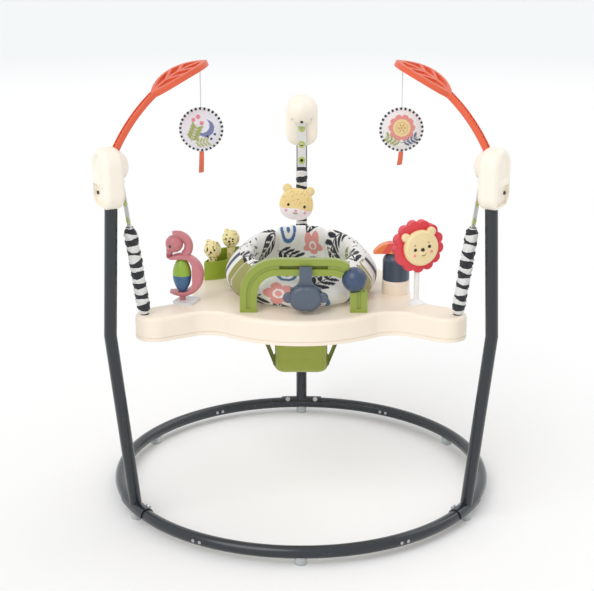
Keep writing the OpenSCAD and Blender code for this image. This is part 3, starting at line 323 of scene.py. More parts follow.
@dataclass(frozen=True)
class PlatedSteel:
    """Zinc-plated or drawn steel: grey metal with fine draw lines and cloudy gloss."""

    name: str
    colour: str = "#b9bcc0"
    roughness: float = 0.32
    lines_per_m: float = 900.0
    line_stretch: Triple = (1.0, 1.0, 0.08)

    def build(self) -> bpy.types.Material:
        """Builds the material."""
        made = Surface(self.name)
        drawn = add(made.tree, "ShaderNodeMapping", {"Vector": made.place, "Scale": self.line_stretch})
        lines = made.noise(self.lines_per_m, 2.0, drawn.outputs[0])
        tone = made.tones(lines, self.colour, darker=0.8, lighter=1.1)
        gloss = made.ranged(lines, self.roughness - 0.08, self.roughness + 0.14)
        return made.finish(tone, gloss, {"Metallic": 1.0})


@dataclass(frozen=True)
class ClearVinyl:
    """Clear soft vinyl foot pad: milky, part see-through, with a dulled moulded skin."""

    name: str
    colour: str = "#dfe6e6"
    haze_per_m: float = 160.0

    def build(self) -> bpy.types.Material:
        """Builds the material."""
        made = Surface(self.name)
        haze = made.noise(self.haze_per_m, detail=3.0)
        tone = made.tones(haze, self.colour, darker=0.9, lighter=1.05)
        gloss = made.ranged(haze, 0.24, 0.45)
        return made.finish(tone, gloss, {"IOR": 1.53, "Transmission Weight": 0.45})


@dataclass(frozen=True)
class WovenCloth:
    """Woven polyester: crossing threads with sheen, plain, printed or woven in bands.

    The threads follow the piece's UV map, which is in metres. They are about 0.4 mm apart on the real cloth
    and drawn at thread_mm so that they show.
    """

    name: str
    colour: str = "#ffffff"
    second: str = "#23262c"
    ground: ClothGround = ClothGround.PLAIN
    thread_mm: float = 1.6
    depth_mm: float = 0.22
    roughness: float = 0.82
    sheen: float = 0.25
    band_m: float = 1.0
    clouds_per_m: float = 60.0

    def base(self, made: Surface) -> Socket:
        """The cloth's colour before its threads are shaded.

        Args:
            made: the material under way.

        Returns:
            The colour's socket.
        """
        if self.ground is ClothGround.PRINT:
            return made.printed()
        cloud = made.noise(self.clouds_per_m, detail=4.0)
        if self.ground is ClothGround.PLAIN:
            return made.tones(cloud, self.colour, darker=0.92, lighter=1.06)
        split = add(made.tree, "ShaderNodeSeparateXYZ", {"Vector": made.flat}).outputs
        along = split["Y" if self.ground is ClothGround.BANDS else "X"]
        ripple = made.calc("MULTIPLY_ADD", cloud, 0.3 * self.band_m, along)
        step = made.calc("FLOORED_MODULO", ripple, 2.0 * self.band_m)
        odd = made.calc("GREATER_THAN", step, self.band_m)
        return made.mix(odd, to_linear(self.colour), to_linear(self.second))

    def build(self) -> bpy.types.Material:
        """Builds the material."""
        made = Surface(self.name)
        rows = {"Vector": made.flat, "Scale": WAVE_PERIOD / (self.thread_mm * MM)}
        waves = [add(made.tree, "ShaderNodeTexWave", rows, bands_direction=way) for way in "XY"]
        weave = made.calc("MULTIPLY", *(wave.outputs["Fac"] for wave in waves))
        # Painted shade and painted highlight: the colour is darkened in the valleys between threads and
        # lightened a little on their crowns.
        tone = made.mix(1.0, self.base(made), made.ranged(weave, 0.82, 1.06), "MULTIPLY")
        relief = made.bump(weave, 0.5, self.depth_mm)
        nap = {"Normal": relief, "Sheen Weight": self.sheen, "Sheen Roughness": 0.5}
        return made.finish(tone, self.roughness, nap)


@dataclass(frozen=True)
class ShortPile:
    """Short plush pile: coloured by the piece's print attribute, with a furry break-up and soft sheen."""

    name: str
    pile_mm: float = 1.3
    depth_mm: float = 0.5
    roughness: float = 0.9

    def build(self) -> bpy.types.Material:
        """Builds the material."""
        made = Surface(self.name)
        pile = made.noise(MM_IN_METRE / self.pile_mm, detail=2.0)
        tone = made.mix(1.0, made.printed(), made.ranged(pile, 0.8, 1.14), "MULTIPLY")
        relief = made.bump(pile, 0.6, self.depth_mm)
        nap = {"Normal": relief, "Sheen Weight": 0.5, "Sheen Roughness": 0.4}
        return made.finish(tone, self.roughness, nap)


@dataclass(frozen=True)
class SpottedPlastic:
    """Moulded plastic with small printed spots, as a spotted coat."""

    name: str
    colour: str
    spot: str
    spot_mm: float = 7.0
    spot_share: float = 0.26
    grain_per_m: float = 600.0

    def build(self) -> bpy.types.Material:
        """Builds the material."""
        made = Surface(self.name)
        scatter = {"Vector": made.place, "Scale": MM_IN_METRE / self.spot_mm, "Randomness": 0.85}
        cells = add(made.tree, "ShaderNodeTexVoronoi", scatter)
        spots = made.calc("LESS_THAN", cells.outputs["Distance"], self.spot_share)
        tone = made.mix(spots, to_linear(self.colour), to_linear(self.spot))
        gloss = made.ranged(made.noise(self.grain_per_m, detail=2.0), 0.34, 0.48)
        return made.finish(tone, gloss, {"IOR": 1.49, "Coat Weight": 0.1})


@dataclass(frozen=True)
class BandedPlastic:
    """Moulded plastic sprayed in slanting bands of colour, as on a bright beak."""

    name: str
    colours: tuple[str, ...]
    start_mm: float = 152.0
    level_mm: float = 530.0
    length_mm: float = 84.0
    slant: float = 0.7
    grain_per_m: float = 600.0

    def build(self) -> bpy.types.Material:
        """Builds the material."""
        made = Surface(self.name)
        split = add(made.tree, "ShaderNodeSeparateXYZ", {"Vector": made.place}).outputs
        lean = made.calc("MULTIPLY_ADD", split["Z"], -self.slant, split["X"])
        start = (self.start_mm - self.slant * self.level_mm) * MM
        reach = {"Value": lean, "From Min": start, "From Max": start + self.length_mm * MM}
        share = add(made.tree, "ShaderNodeMapRange", reach)
        bands = add(made.tree, "ShaderNodeValToRGB", {0: share.outputs[0]})
        ramp = bands.color_ramp
        ramp.interpolation = "CONSTANT"
        for number, code in enumerate(self.colours):
            place = number / len(self.colours)
            stop = ramp.elements[number] if number < 2 else ramp.elements.new(place)
            stop.position = place
            stop.color = to_linear(code)
        gloss = made.ranged(made.noise(self.grain_per_m, detail=2.0), 0.3, 0.42)
        return made.finish(bands.outputs[0], gloss, {"IOR": 1.49, "Coat Weight": 0.15})


class Palette:
    """Every finish of the jumper, built once and handed out by name."""

    PLASTICS = {
        "ivory": ("ivory_polypropylene", "#fcf4e5", 0.34, 60.0, 0.03),
        "tray": ("peach_cream_polypropylene", "#f9ecda", 0.36, 90.0, 0.03),
        "ring": ("ivory_ring_plastic", "#e4dccb", 0.42),
        "black_screw": ("black_oxide_screw", "#1c1d20", 0.4),
        "dark": ("black_nylon", "#2c2f34", 0.45),
        "eyelet": ("lime_nylon_eyelet", "#b3c15a", 0.35),
        "coral": ("coral_polypropylene", "#e5603a"),
        "lime": ("leaf_green_polypropylene", "#91a13e", 0.3),
        "cup": ("lime_green_polypropylene", "#9bb431"),
        "slate": ("slate_polypropylene", "#535e6e"),
        "toucan": ("dark_slate_polypropylene", "#3d4d5f", 0.34),
        "navy": ("navy_polypropylene", "#3b4d6c", 0.28),
        "white": ("white_abs", "#f0f1f0", 0.34),
        "grey": ("pale_grey_abs", "#dde1e1"),
        "pink": ("dusty_pink_abs", "#cb7d84", 0.34),
        "pink_dark": ("deep_pink_abs", "#a9575f"),
        "green": ("green_abs", "#93b33b", 0.26),
        "blue": ("blue_abs", "#3a658e", 0.26),
        "red": ("red_polypropylene", "#e2404d"),
        "cream": ("butter_cream_abs", "#f4deab", 0.38, 60.0, 0.03),
        "ink": ("black_printed_ink", "#241c1c", 0.22),
        "blush": ("rose_printed_ink", "#ef9a94", 0.4),
    }

    def __init__(self) -> None:
        """Lists the finishes."""
        bands, checks, printed = ClothGround.BANDS, ClothGround.CHECKS, ClothGround.PRINT
        beak = ("#f0833c", "#e8574a", "#f3b443", "#f0833c", "#f4cf5a")
        self._made: dict[str, bpy.types.Material] = {}
        self._finishes = {
            **{key: MouldedPlastic(*values) for key, values in self.PLASTICS.items()},
            "tube": CoatedSteel("graphite_powder_coat", "#20262c", 0.24),
            "zinc": PlatedSteel("zinc_plated_steel"),
            "spring": PlatedSteel("drawn_spring_wire", "#c2c4c6", 0.26),
            "pad": ClearVinyl("clear_vinyl"),
            "beak": BandedPlastic("banded_orange_abs", beak),
            "cub": SpottedPlastic("spotted_cream_abs", "#f1e3a6", "#4a3f2c"),
            "strap": WovenCloth("white_webbing", "#eeeeec", thread_mm=1.9, depth_mm=0.3),
            "sleeve": WovenCloth(
                "banded_gathered_cotton", "#f0f0ee", "#24272d", bands, 1.4, 0.2, band_m=0.01125
            ),
            "collar": WovenCloth("printed_polyester", ground=printed, thread_mm=1.8),
            "disc": WovenCloth("printed_disc_cloth", ground=printed, thread_mm=1.2),
            "check": WovenCloth("checked_piping", "#f2f2f2", "#1f2430", checks, 1.0, 0.12, band_m=0.00416),
            "ribbon": WovenCloth("coral_satin_ribbon", "#ea6d4d", thread_mm=0.9, roughness=0.5, sheen=0.4),
            "olive": WovenCloth("olive_polyester", "#a3ae44", thread_mm=1.7, depth_mm=0.24),
            "binding": WovenCloth("dark_olive_binding", "#7d8b2e", thread_mm=1.2),
            "thread": WovenCloth("olive_sewing_thread", "#a9b552", thread_mm=0.8, roughness=0.6),
            "pale_thread": WovenCloth("white_sewing_thread", "#e9e9e4", thread_mm=0.8, roughness=0.6),
            "cord": WovenCloth("white_nylon_line", "#eceef0", thread_mm=0.8, roughness=0.45),
            "plush": ShortPile("short_pile_plush"),
        }

    def get(self, key: str) -> bpy.types.Material:
        """The named finish's material, built on first use.

        Args:
            key: the finish's name.

        Returns:
            Its material.
        """
        if key not in self._made:
            self._made[key] = self._finishes[key].build()
        return self._made[key]


@dataclass(frozen=True)
class Layout:
    """Where things are: the ring's middle and the strap line that runs from tray lobe to hub."""

    middle_x: float
    middle_y: float
    anchor_r: float = 357.0
    anchor_z: float = 428.0
    line_deg: float = 8.213
    line_len: float = 303.1
    knot_r: float = 226.069
    knot_z: float = 914.186

    def at(self, points: np.ndarray) -> np.ndarray:
        """Points in millimetres from the ring's middle, turned to metres in the shared frame."""
        return np.asarray(points, float) * MM + np.array([self.middle_x, self.middle_y, 0.0])

    def turned(self, station: Station, out: np.ndarray, side: np.ndarray, up: np.ndarray) -> np.ndarray:
        """Points given by distance out from the middle, to the side and up, at one corner.

        Args:
            station: the corner.
            out: distance from the middle axis.
            side: distance sideways, anticlockwise from above.
            up: height over the floor.

        Returns:
            Points in metres in the shared frame.
        """
        a = math.radians(station.value)
        out, side, up = np.broadcast_arrays(np.asarray(out, float), side, up)
        x = out * math.cos(a) - side * math.sin(a)
        y = out * math.sin(a) + side * math.cos(a)
        return self.at(np.stack([x, y, up], axis=-1))

    def on_line(self, station: Station, off: np.ndarray, side: np.ndarray, along: np.ndarray) -> np.ndarray:
        """Points near a corner's strap line.

        Args:
            station: the corner.
            off: distance from the line, outwards.
            side: distance from the line, sideways.
            along: distance along the line from the spring anchor.

        Returns:
            Points in metres in the shared frame.
        """
        t = math.radians(self.line_deg)
        off, side, along = np.broadcast_arrays(np.asarray(off, float), side, along)
        out = self.anchor_r + off * math.cos(t) + along * math.sin(t)
        up = self.anchor_z - off * math.sin(t) + along * math.cos(t)
        return self.turned(station, out, side, up)

    def knot(self, station: Station) -> np.ndarray:
        """The point under a leaf arm where a toy's cord is knotted, in metres."""
        return self.turned(station, self.knot_r, 0.0, self.knot_z)


def paint(mesh: bpy.types.Mesh, colours: np.ndarray) -> None:
    """Writes linear colours to a mesh's print attribute.

    Args:
        mesh: the mesh.
        colours: red, green and blue for each point.
    """
    layers = mesh.color_attributes
    layer = layers.get(PRINT_LAYER) or layers.new(PRINT_LAYER, "FLOAT_COLOR", "POINT")
    rgba = np.ones((len(mesh.vertices), 4), np.float32)
    rgba[:, :3] = colours
    layer.data.foreach_set("color", rgba.ravel())


def smooth(mesh: bpy.types.Mesh) -> None:
    """Shades every face of a mesh smooth."""
    mesh.polygons.foreach_set("use_smooth", [True] * len(mesh.polygons))


def make(
    name: str,
    verts: np.ndarray,
    faces: Sequence[Sequence[int]],
    material: bpy.types.Material,
    uvs: Optional[Sequence[Pair]] = None,
    colours: Optional[np.ndarray] = None,
    weld: float = 0.0,
) -> bpy.types.Object:
    """Makes a smooth mesh object at the origin, with its place in its mesh.

    Args:
        name: the piece's name.
        verts: points in metres.
        faces: corner numbers of each face.
        material: the finish.
        uvs: a pair for each face corner, in metres, in face order.
        colours: linear colours by point, for the print attribute.
        weld: distance in metres under which points are merged.

    Returns:
        The new object.
    """
    mesh = bpy.data.meshes.new(name)
    mesh.from_pydata([tuple(v) for v in np.asarray(verts).reshape(-1, 3)], [], [tuple(f) for f in faces])
    if uvs is not None:
        layer = mesh.uv_layers.new(name="flat")
        layer.data.foreach_set("uv", np.asarray(uvs, np.float32).ravel())
    if colours is not None:
        paint(mesh, colours)
    build = bmesh.new()
    build.from_mesh(mesh)
    if weld > 0.0:
        bmesh.ops.remove_doubles(build, verts=build.verts, dist=weld)
    bmesh.ops.recalc_face_normals(build, faces=build.faces)
    build.to_mesh(mesh)
    build.free()
    smooth(mesh)
    mesh.materials.append(material)
    piece = bpy.data.objects.new(name, mesh)
    bpy.context.scene.collection.objects.link(piece)
    return piece


def loft(points: np.ndarray, wrap: Wrap, size: Pair) -> Mapped:
    """Quads and flat coordinates of a grid of points.

    Args:
        points: rows by columns by three.
        wrap: whether the rows and the columns close.
        size: metres that the columns and the rows cover in the flat map.

    Returns:
        The faces, and a flat pair for each face corner.
    """
    rows, cols = points.shape[:2]
    wrap_rows, wrap_cols = wrap.value
    last_row = rows if wrap_rows else rows - 1
    last_col = cols if wrap_cols else cols - 1
    faces, uvs = [], []
    for i in range(last_row):
        for j in range(last_col):
            corner = [(i, j), (i, j + 1), (i + 1, j + 1), (i + 1, j)]
            faces.append([(r % rows) * cols + c % cols for r, c in corner])
            uvs.extend((c / last_col * size[0], r / last_row * size[1]) for r, c in corner)
    return faces, uvs


def without(faces: list[list[int]], uvs: list[Pair], gone: np.ndarray) -> Mapped:
    """Leaves faces out of a loft.

    Args:
        faces: the loft's quads.
        uvs: a flat pair for each corner of them.
        gone: true for each face that is left out, in face order.

    Returns:
        The faces that stay and their flat pairs.
    """
    kept = np.flatnonzero(~gone.ravel())
    return [faces[n] for n in kept], [pair for n in kept for pair in uvs[4 * n : 4 * n + 4]]


def tube(path: np.ndarray, radius: float, sides: int, closed: bool = False) -> np.ndarray:
    """Rings of points round a path.

    Args:
        path: points in order, in any unit.
        radius: the tube's radius in the same unit.
        sides: points in each ring.
        closed: the path runs on from its last point to its first.

    Returns:
        Rings by sides by three.
    """
    steps = unit(np.roll(path, -1, 0) - np.roll(path, 1, 0) if closed else np.gradient(path, axis=0))
    first = np.array([0.0, 0.0, 1.0]) if abs(steps[0][2]) < 0.9 else np.array([1.0, 0.0, 0.0])
    side = np.cross(steps[0], first)
    carried = []
    for step in [*steps, steps[0]]:
        side = unit(side - step * float(side @ step))
        carried.append(side)
    twist = 0.0
    if closed:
        start, end = carried[0], carried[-1]
        twist = math.atan2(float(np.cross(end, start) @ steps[0]), float(end @ start))
    rings = []
    for number, (point, step, side) in enumerate(zip(path, steps, carried)):
        turn = circle(sides) + twist * number / len(path)
        up = np.cross(step, side)
        rings.append(point + radius * (np.outer(np.cos(turn), side) + np.outer(np.sin(turn), up)))
    return np.array(rings)


def thicken(piece: bpy.types.Object, thick_mm: float) -> None:
    """Gives a cloth a wall, half of it to each side.

    Args:
        piece: the cloth.
        thick_mm: the wall's thickness in millimetres.
    """
    wall = piece.modifiers.new("wall", "SOLIDIFY")
    wall.thickness = thick_mm * MM
    wall.offset = 0.0


def baked(piece: bpy.types.Object, name: str) -> bpy.types.Object:
    """Turns a piece with live modifiers into a plain mesh object, which takes its place.

    Args:
        piece: the object with modifiers.
        name: the plain object's name.

    Returns:
        The plain object.
    """
    bpy.context.view_layer.update()
    seen = piece.evaluated_get(bpy.context.evaluated_depsgraph_get())
    mesh = bpy.data.meshes.new_from_object(seen)
    bpy.data.objects.remove(piece)
    mesh.name = name
    made = bpy.data.objects.new(name, mesh)
    bpy.context.scene.collection.objects.link(made)
    return made


def finer(piece: bpy.types.Object, levels: int) -> bpy.types.Object:
    """Subdivides a piece for good.

    Args:
        piece: the coarse object.
        levels: how many times.

    Returns:
        The fine object, under the same name.
    """
    name = piece.name
    modifier = piece.modifiers.new("smooth", "SUBSURF")
    modifier.levels = levels
    modifier.render_levels = levels
    piece.name = name + "_coarse"
    return baked(piece, name)


def swell(piece: bpy.types.Object, held: np.ndarray, pressure: float, frames: int, cap: float) -> None:
    """Stuffs a closed cloth mesh by simulation and keeps the result in its points.

    Args:
        piece: the mesh object.
        held: how firmly each point is sewn down, from nought to one.
        pressure: inside pressure.
        frames: simulated steps.
        cap: the furthest that a point may move, in metres.
    """
    group = piece.vertex_groups.new(name="sewn")
    for index, weight in enumerate(held):
        if weight > 0.01:
            group.add([index], float(weight), "REPLACE")
    rest = np.array([v.co for v in piece.data.vertices])
    cloth = piece.modifiers.new("stuffing", "CLOTH")
    cloth.settings.vertex_group_mass = "sewn"
    cloth.settings.use_pressure = True
    cloth.settings.uniform_pressure_force = pressure
    cloth.settings.quality = 6
    cloth.settings.bending_stiffness = 0.4
    cloth.settings.effector_weights.gravity = 0.0
    cloth.collision_settings.use_collision = False
    cloth.point_cache.frame_start = 1
    cloth.point_cache.frame_end = frames
    scene = bpy.context.scene
    for frame in range(1, frames + 1):
        scene.frame_set(frame)
    seen = piece.evaluated_get(bpy.context.evaluated_depsgraph_get())
    grown = np.array([v.co for v in seen.data.vertices])
    piece.modifiers.remove(cloth)
    scene.frame_set(1)
    move = grown - rest
    far = np.linalg.norm(move, axis=1, keepdims=True)
    move *= np.minimum(1.0, cap / np.maximum(far, 1e-9))
    piece.data.vertices.foreach_set("co", (rest + move).astype(np.float32).ravel())
    piece.data.update()


class NodeTools:
    """Geometry trees that make what repeats: the coil springs and the rows of stitches."""

    @staticmethod
    def tree(
        name: str, sizes: dict[str, float]
    ) -> tuple[bpy.types.NodeTree, dict[str, str], bpy.types.Node]:
        """Starts a geometry tree with named sizes.

        Args:
            name: the tree's name.
            sizes: names and values of its float inputs.

        Returns:
            The tree, the inputs' identifiers by name, and its input node.
        """
        made = bpy.data.node_groups.new(name, "GeometryNodeTree")
        made.interface.new_socket("Geometry", in_out="INPUT", socket_type="NodeSocketGeometry")
        ids = {}
        for key, value in sizes.items():
            socket = made.interface.new_socket(key, in_out="INPUT", socket_type="NodeSocketFloat")
            socket.default_value = value
            ids[key] = socket.identifier
        made.interface.new_socket("Geometry", in_out="OUTPUT", socket_type="NodeSocketGeometry")
        return made, ids, add(made, "NodeGroupInput")

    @staticmethod
    def close(tree: bpy.types.NodeTree, shape: Socket, material: bpy.types.Material) -> None:
        """Ends a tree in real geometry with its finish.

        Args:
            tree: the geometry tree.
            shape: what it has made.
            material: the finish.
        """
        real = add(tree, "GeometryNodeRealizeInstances", {0: shape})
        done = add(tree, "GeometryNodeSetMaterial", {"Geometry": real.outputs[0], "Material": material})
        add(tree, "NodeGroupOutput", {0: done.outputs[0]})

    @staticmethod
    def run(name: str, tree: bpy.types.NodeTree, ids: dict[str, str], sizes: dict[str, float],
            path: Sequence[np.ndarray] = ()) -> bpy.types.Object:
        """Runs a tree on a line of points and keeps the plain result.

        Args:
            name: the piece's name.
            tree: the geometry tree.
            ids: the inputs' identifiers by name.
            sizes: values of the inputs.
            path: points of the line in metres, where the tree follows one.

        Returns:
            The plain mesh object.
        """
        mesh = bpy.data.meshes.new(name + "_path")
        mesh.from_pydata([tuple(p) for p in path], [(i, i + 1) for i in range(len(path) - 1)], [])
        carrier = bpy.data.objects.new(name + "_path", mesh)
        bpy.context.scene.collection.objects.link(carrier)
        modifier = carrier.modifiers.new("build", "NODES")
        modifier.node_group = tree
        for key, value in sizes.items():
            modifier[ids[key]] = value
        return baked(carrier, name)

    @classmethod
    def coil(cls, name: str, material: bpy.types.Material, sizes: dict[str, float]) -> bpy.types.Object:
        """A coil spring that stands on the origin.

        Args:
            name: the spring's name.
            material: its finish.
            sizes: its Turns, and its Radius, Height and Wire radius in metres.

        Returns:
            The spring.
        """
        tree, ids, start = cls.tree("coil_spring", sizes)
        size = start.outputs
        helix = {"Resolution": 28, "Rotations": size["Turns"], "Height": size["Height"]}
        helix |= {"Start Radius": size["Radius"], "End Radius": size["Radius"]}
        line = add(tree, "GeometryNodeCurveSpiral", helix)
        wire = add(tree, "GeometryNodeCurvePrimitiveCircle", {"Resolution": 10, "Radius": size["Wire"]})
        sweep = {"Curve": line.outputs[0], "Profile Curve": wire.outputs[0], "Fill Caps": True}
        solid = add(tree, "GeometryNodeCurveToMesh", sweep)
        cls.close(tree, solid.outputs[0], material)
        return cls.run(name, tree, ids, sizes)

    @classmethod
    def stitches(cls, name: str, path: np.ndarray, material: bpy.types.Material) -> bpy.types.Object:
        """A row of sewing stitches along a path.

        Args:
            name: the row's name.
            path: points in metres.
            material: the thread's finish.

        Returns:
            The row.
        """
        sizes = {"Pitch": 0.0062, "Length": 0.0042, "Thread": 0.0011}
        tree, ids, start = cls.tree("stitch_row", sizes)
        size = start.outputs
        line = add(tree, "GeometryNodeMeshToCurve", {0: size["Geometry"]})
        spacing = {"Curve": line.outputs[0], "Length": size["Pitch"]}
        places = add(tree, "GeometryNodeCurveToPoints", spacing, mode="LENGTH").outputs
        bead = add(tree, "GeometryNodeMeshUVSphere", {"Segments": 6, "Rings": 4, "Radius": 0.5})
        thin = {"X": size["Thread"], "Y": size["Thread"], "Z": size["Length"]}
        stretch = add(tree, "ShaderNodeCombineXYZ", thin)
        lie = add(tree, "FunctionNodeAlignRotationToVector", {"Vector": places["Tangent"]}, axis="Z")
        sewn = {"Points": places["Points"], "Instance": bead.outputs[0]}
        sewn |= {"Rotation": lie.outputs[0], "Scale": stretch.outputs[0]}
        row = add(tree, "GeometryNodeInstanceOnPoints", sewn)
        cls.close(tree, row.outputs[0], material)
        return cls.run(name, tree, ids, sizes, path)


class Print:
    """Generic sprigs, leaves, rings and dots, drawn as colours on points of a cloth."""

    GROUND = "#fbfaf7"

    def __init__(self, across: np.ndarray, up: np.ndarray, ground: str = GROUND) -> None:
        """Starts a print.

        Args:
            across: the points' flat places from left to right, in millimetres.
            up: their flat places upwards.
            ground: the ground's hex colour.
        """
        self.across = np.asarray(across, float)
        self.up = np.asarray(up, float)
        self.colour = np.tile(np.array(to_linear(ground)[:3]), (len(self.across), 1))

    def fill(self, mask: np.ndarray, code: str) -> None:
        """Colours the points in a mask."""
        self.colour[mask] = to_linear(code)[:3]

    def local(self, place: Pair, turn: float, scale: float) -> tuple[np.ndarray, np.ndarray]:
        """The points as seen from a motif.

        Args:
            place: the motif's middle.
            turn: its turn in degrees.
            scale: its scale.

        Returns:
            Coordinates along and across the motif.
        """
        a = math.radians(turn)
        dx, dy = (self.across - place[0]) / scale, (self.up - place[1]) / scale
        return dx * math.cos(a) + dy * math.sin(a), dy * math.cos(a) - dx * math.sin(a)

    def dot(self, place: Pair, radius: float, code: str) -> None:
        """A round spot."""
        p, q = self.local(place, 0.0, 1.0)
        self.fill(p * p + q * q < radius * radius, code)

    def ring(self, place: Pair, radius: float, width: float, code: str) -> None:
        """A ring with a spot in it."""
        far = np.hypot(*self.local(place, 0.0, 1.0))
        self.fill((np.abs(far - radius) < width / 2) | (far < 0.3 * radius), code)

    def flower(self, place: Pair, turn: float, radius: float, code: str, eye: str) -> None:
        """A flower of five round petals with a pale eye.

        Args:
            place: its middle.
            turn: its turn in degrees.
            radius: its radius.
            code: the petals' hex colour.
            eye: the eye's hex colour.
        """
        p, q = self.local(place, turn, 1.0)
        far, angle = np.hypot(p, q), np.arctan2(q, p)
        self.fill(far < radius * (0.66 + 0.34 * np.abs(np.cos(2.5 * angle))), code)
        self.fill(np.abs(far - 0.3 * radius) < 0.07 * radius, eye)

    def sprig(self, place: Pair, turn: float, scale: float, code: str, pairs: int = 4) -> None:
        """A stem with pairs of narrow leaflets.

        Args:
            place: its middle.
            turn: its turn in degrees.
            scale: its size, where one is a stem 36 mm long.
            code: its hex colour.
            pairs: how many pairs of leaflets it has.
        """
        p, q = self.local(place, turn, scale)
        mask = (np.abs(q) < 0.8) & (np.abs(p) < 18)
        for k in range(pairs):
            foot = -12.0 + 24.0 * k / max(pairs - 1, 1)
            for side in (-1.0, 1.0):
                a = side * math.radians(52)
                cx, cy = foot + 4.6 * math.cos(a), 8.2 * math.sin(a)
                u = (p - cx) * math.cos(a) + (q - cy) * math.sin(a)
                v = (q - cy) * math.cos(a) - (p - cx) * math.sin(a)
                mask |= (u / 7.0) ** 2 + (v / 2.6) ** 2 < 1.0
        self.fill(mask, code)

    def leaf(self, place: Pair, turn: float, scale: float, code: str, vein: str) -> None:
        """A broad pointed leaf with a midrib and slanting veins.

        Args:
            place: its middle.
            turn: its turn in degrees.
            scale: its size, where one is a leaf 42 mm long.
            code: its hex colour.
            vein: the veins' hex colour.
        """
        p, q = self.local(place, turn, scale)
        inside = np.abs(q) < 10.5 * (1.0 - (p / 21.0) ** 2)
        self.fill(inside & (np.abs(p) < 21.0), code)
        lines = (np.abs(q) < 0.9) | (np.abs(np.mod(p - 0.9 * np.abs(q), 7.0) - 3.5) < 0.8)
        rim = np.abs(q) < 8.6 * (1.0 - (p / 19.0) ** 2)
        self.fill(rim & lines & (np.abs(p) < 18.0), vein)


@dataclass
class Builder:
    """What each sub-assembly needs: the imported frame, the places and the finishes."""

    frame: dict
    layout: Layout
    palette: Palette
    # Shares of a button's radius and height, from its sunk foot to its crown.
    button: tuple[Pair, ...] = (
        (1.0, -0.6), (1.0, 0.2), (0.96, 0.5), (0.82, 0.78), (0.55, 0.94), (0.25, 1.0), (0.001, 1.02)
    )
    button_sides: int = 24

    def dress(self, finishes: dict[str, Sequence[str]]) -> None:
        """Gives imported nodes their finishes.

        Args:
            finishes: node names by finish.
        """
        for finish, nodes in finishes.items():
            for node in nodes:
                mesh = self.frame["nodes"][node].data
                mesh.materials.clear()
                mesh.materials.append(self.palette.get(finish))

    def ride(self, piece: bpy.types.Object, body: str, slot: str, *stands_for: str) -> None:
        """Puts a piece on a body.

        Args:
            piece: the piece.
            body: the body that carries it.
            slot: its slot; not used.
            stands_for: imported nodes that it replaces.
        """
        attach(piece, body)
        if stands_for:
            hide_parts(*stands_for)
        LOG.info("%s rides on %s", piece.name, body)

    def skin(self, name: str, points: np.ndarray, finish: str, wrap: Wrap, size: Pair,
             **more: Union[np.ndarray, float]) -> bpy.types.Object:
        """Makes a piece from a grid of points.

        Args:
            name: the piece's name.
            points: rows by columns by three, in metres in the shared frame.
            finish: its finish.
            wrap: whether the rows and the columns close.
            size: metres that the columns and the rows cover in the flat map.
            more: colours and weld, as for make.

        Returns:
            The piece.
        """
        faces, uvs = loft(points, wrap, size)
        return make(name, points, faces, self.palette.get(finish), uvs, **more)

    def dome(self, name: str, place: np.ndarray, facing: np.ndarray, radius: float, height: float,
             finish: str) -> bpy.types.Object:
        """A low round button, such as an eye or a cheek.

        Args:
            name: the piece's name.
            place: its foot's middle, in millimetres from the ring's middle.
            facing: the direction it looks.
            radius: its radius in millimetres.
            height: how far it stands proud, in millimetres.
            finish: its finish.

        Returns:
            The button.
        """
        out = unit(facing)
        first = unit(np.cross(out, [0.0, 0.0, 1.0]))
        turn = circle(self.button_sides)
        flat = np.outer(np.cos(turn), first) + np.outer(np.sin(turn), np.cross(out, first))
        rings = [place + radius * share * flat + out * height * lift for share, lift in self.button]
        size = (TAU * radius * MM, 2 * radius * MM)
        return self.skin(name, self.layout.at(rings), finish, Wrap.COLUMNS, size, weld=1e-6)


@dataclass
class FloorFrame:
    """Floor ring, legs, hubs and leaf arms, which keep their solids and get their finishes."""

    b: Builder

    def build(self) -> None:
        """Dresses the hard frame."""
        tags = [station.tag for station in Station]
        arcs = [f"base_arc_{side}" for side in ("front", "rear", "left", "right")]
        self.b.dress({
            "tube": arcs + [f"leg_{tag}" for tag in tags],
            "zinc": ["snap_pins", "leg_bolts", "foot_screws", "strap_pegs"],
            "pad": ["foot_pads"],
            "ivory": [f"hub_{half}_{tag}" for half in ("inner", "outer") for tag in tags],
            "black_screw": ["hub_screws"],
            "eyelet": ["strap_eyelets"],
            "dark": ["strap_anchors", "spring_anchors"],
            "coral": ["leaf_arm_left", "leaf_arm_right"],
        })
        LOG.info("frame dressed")


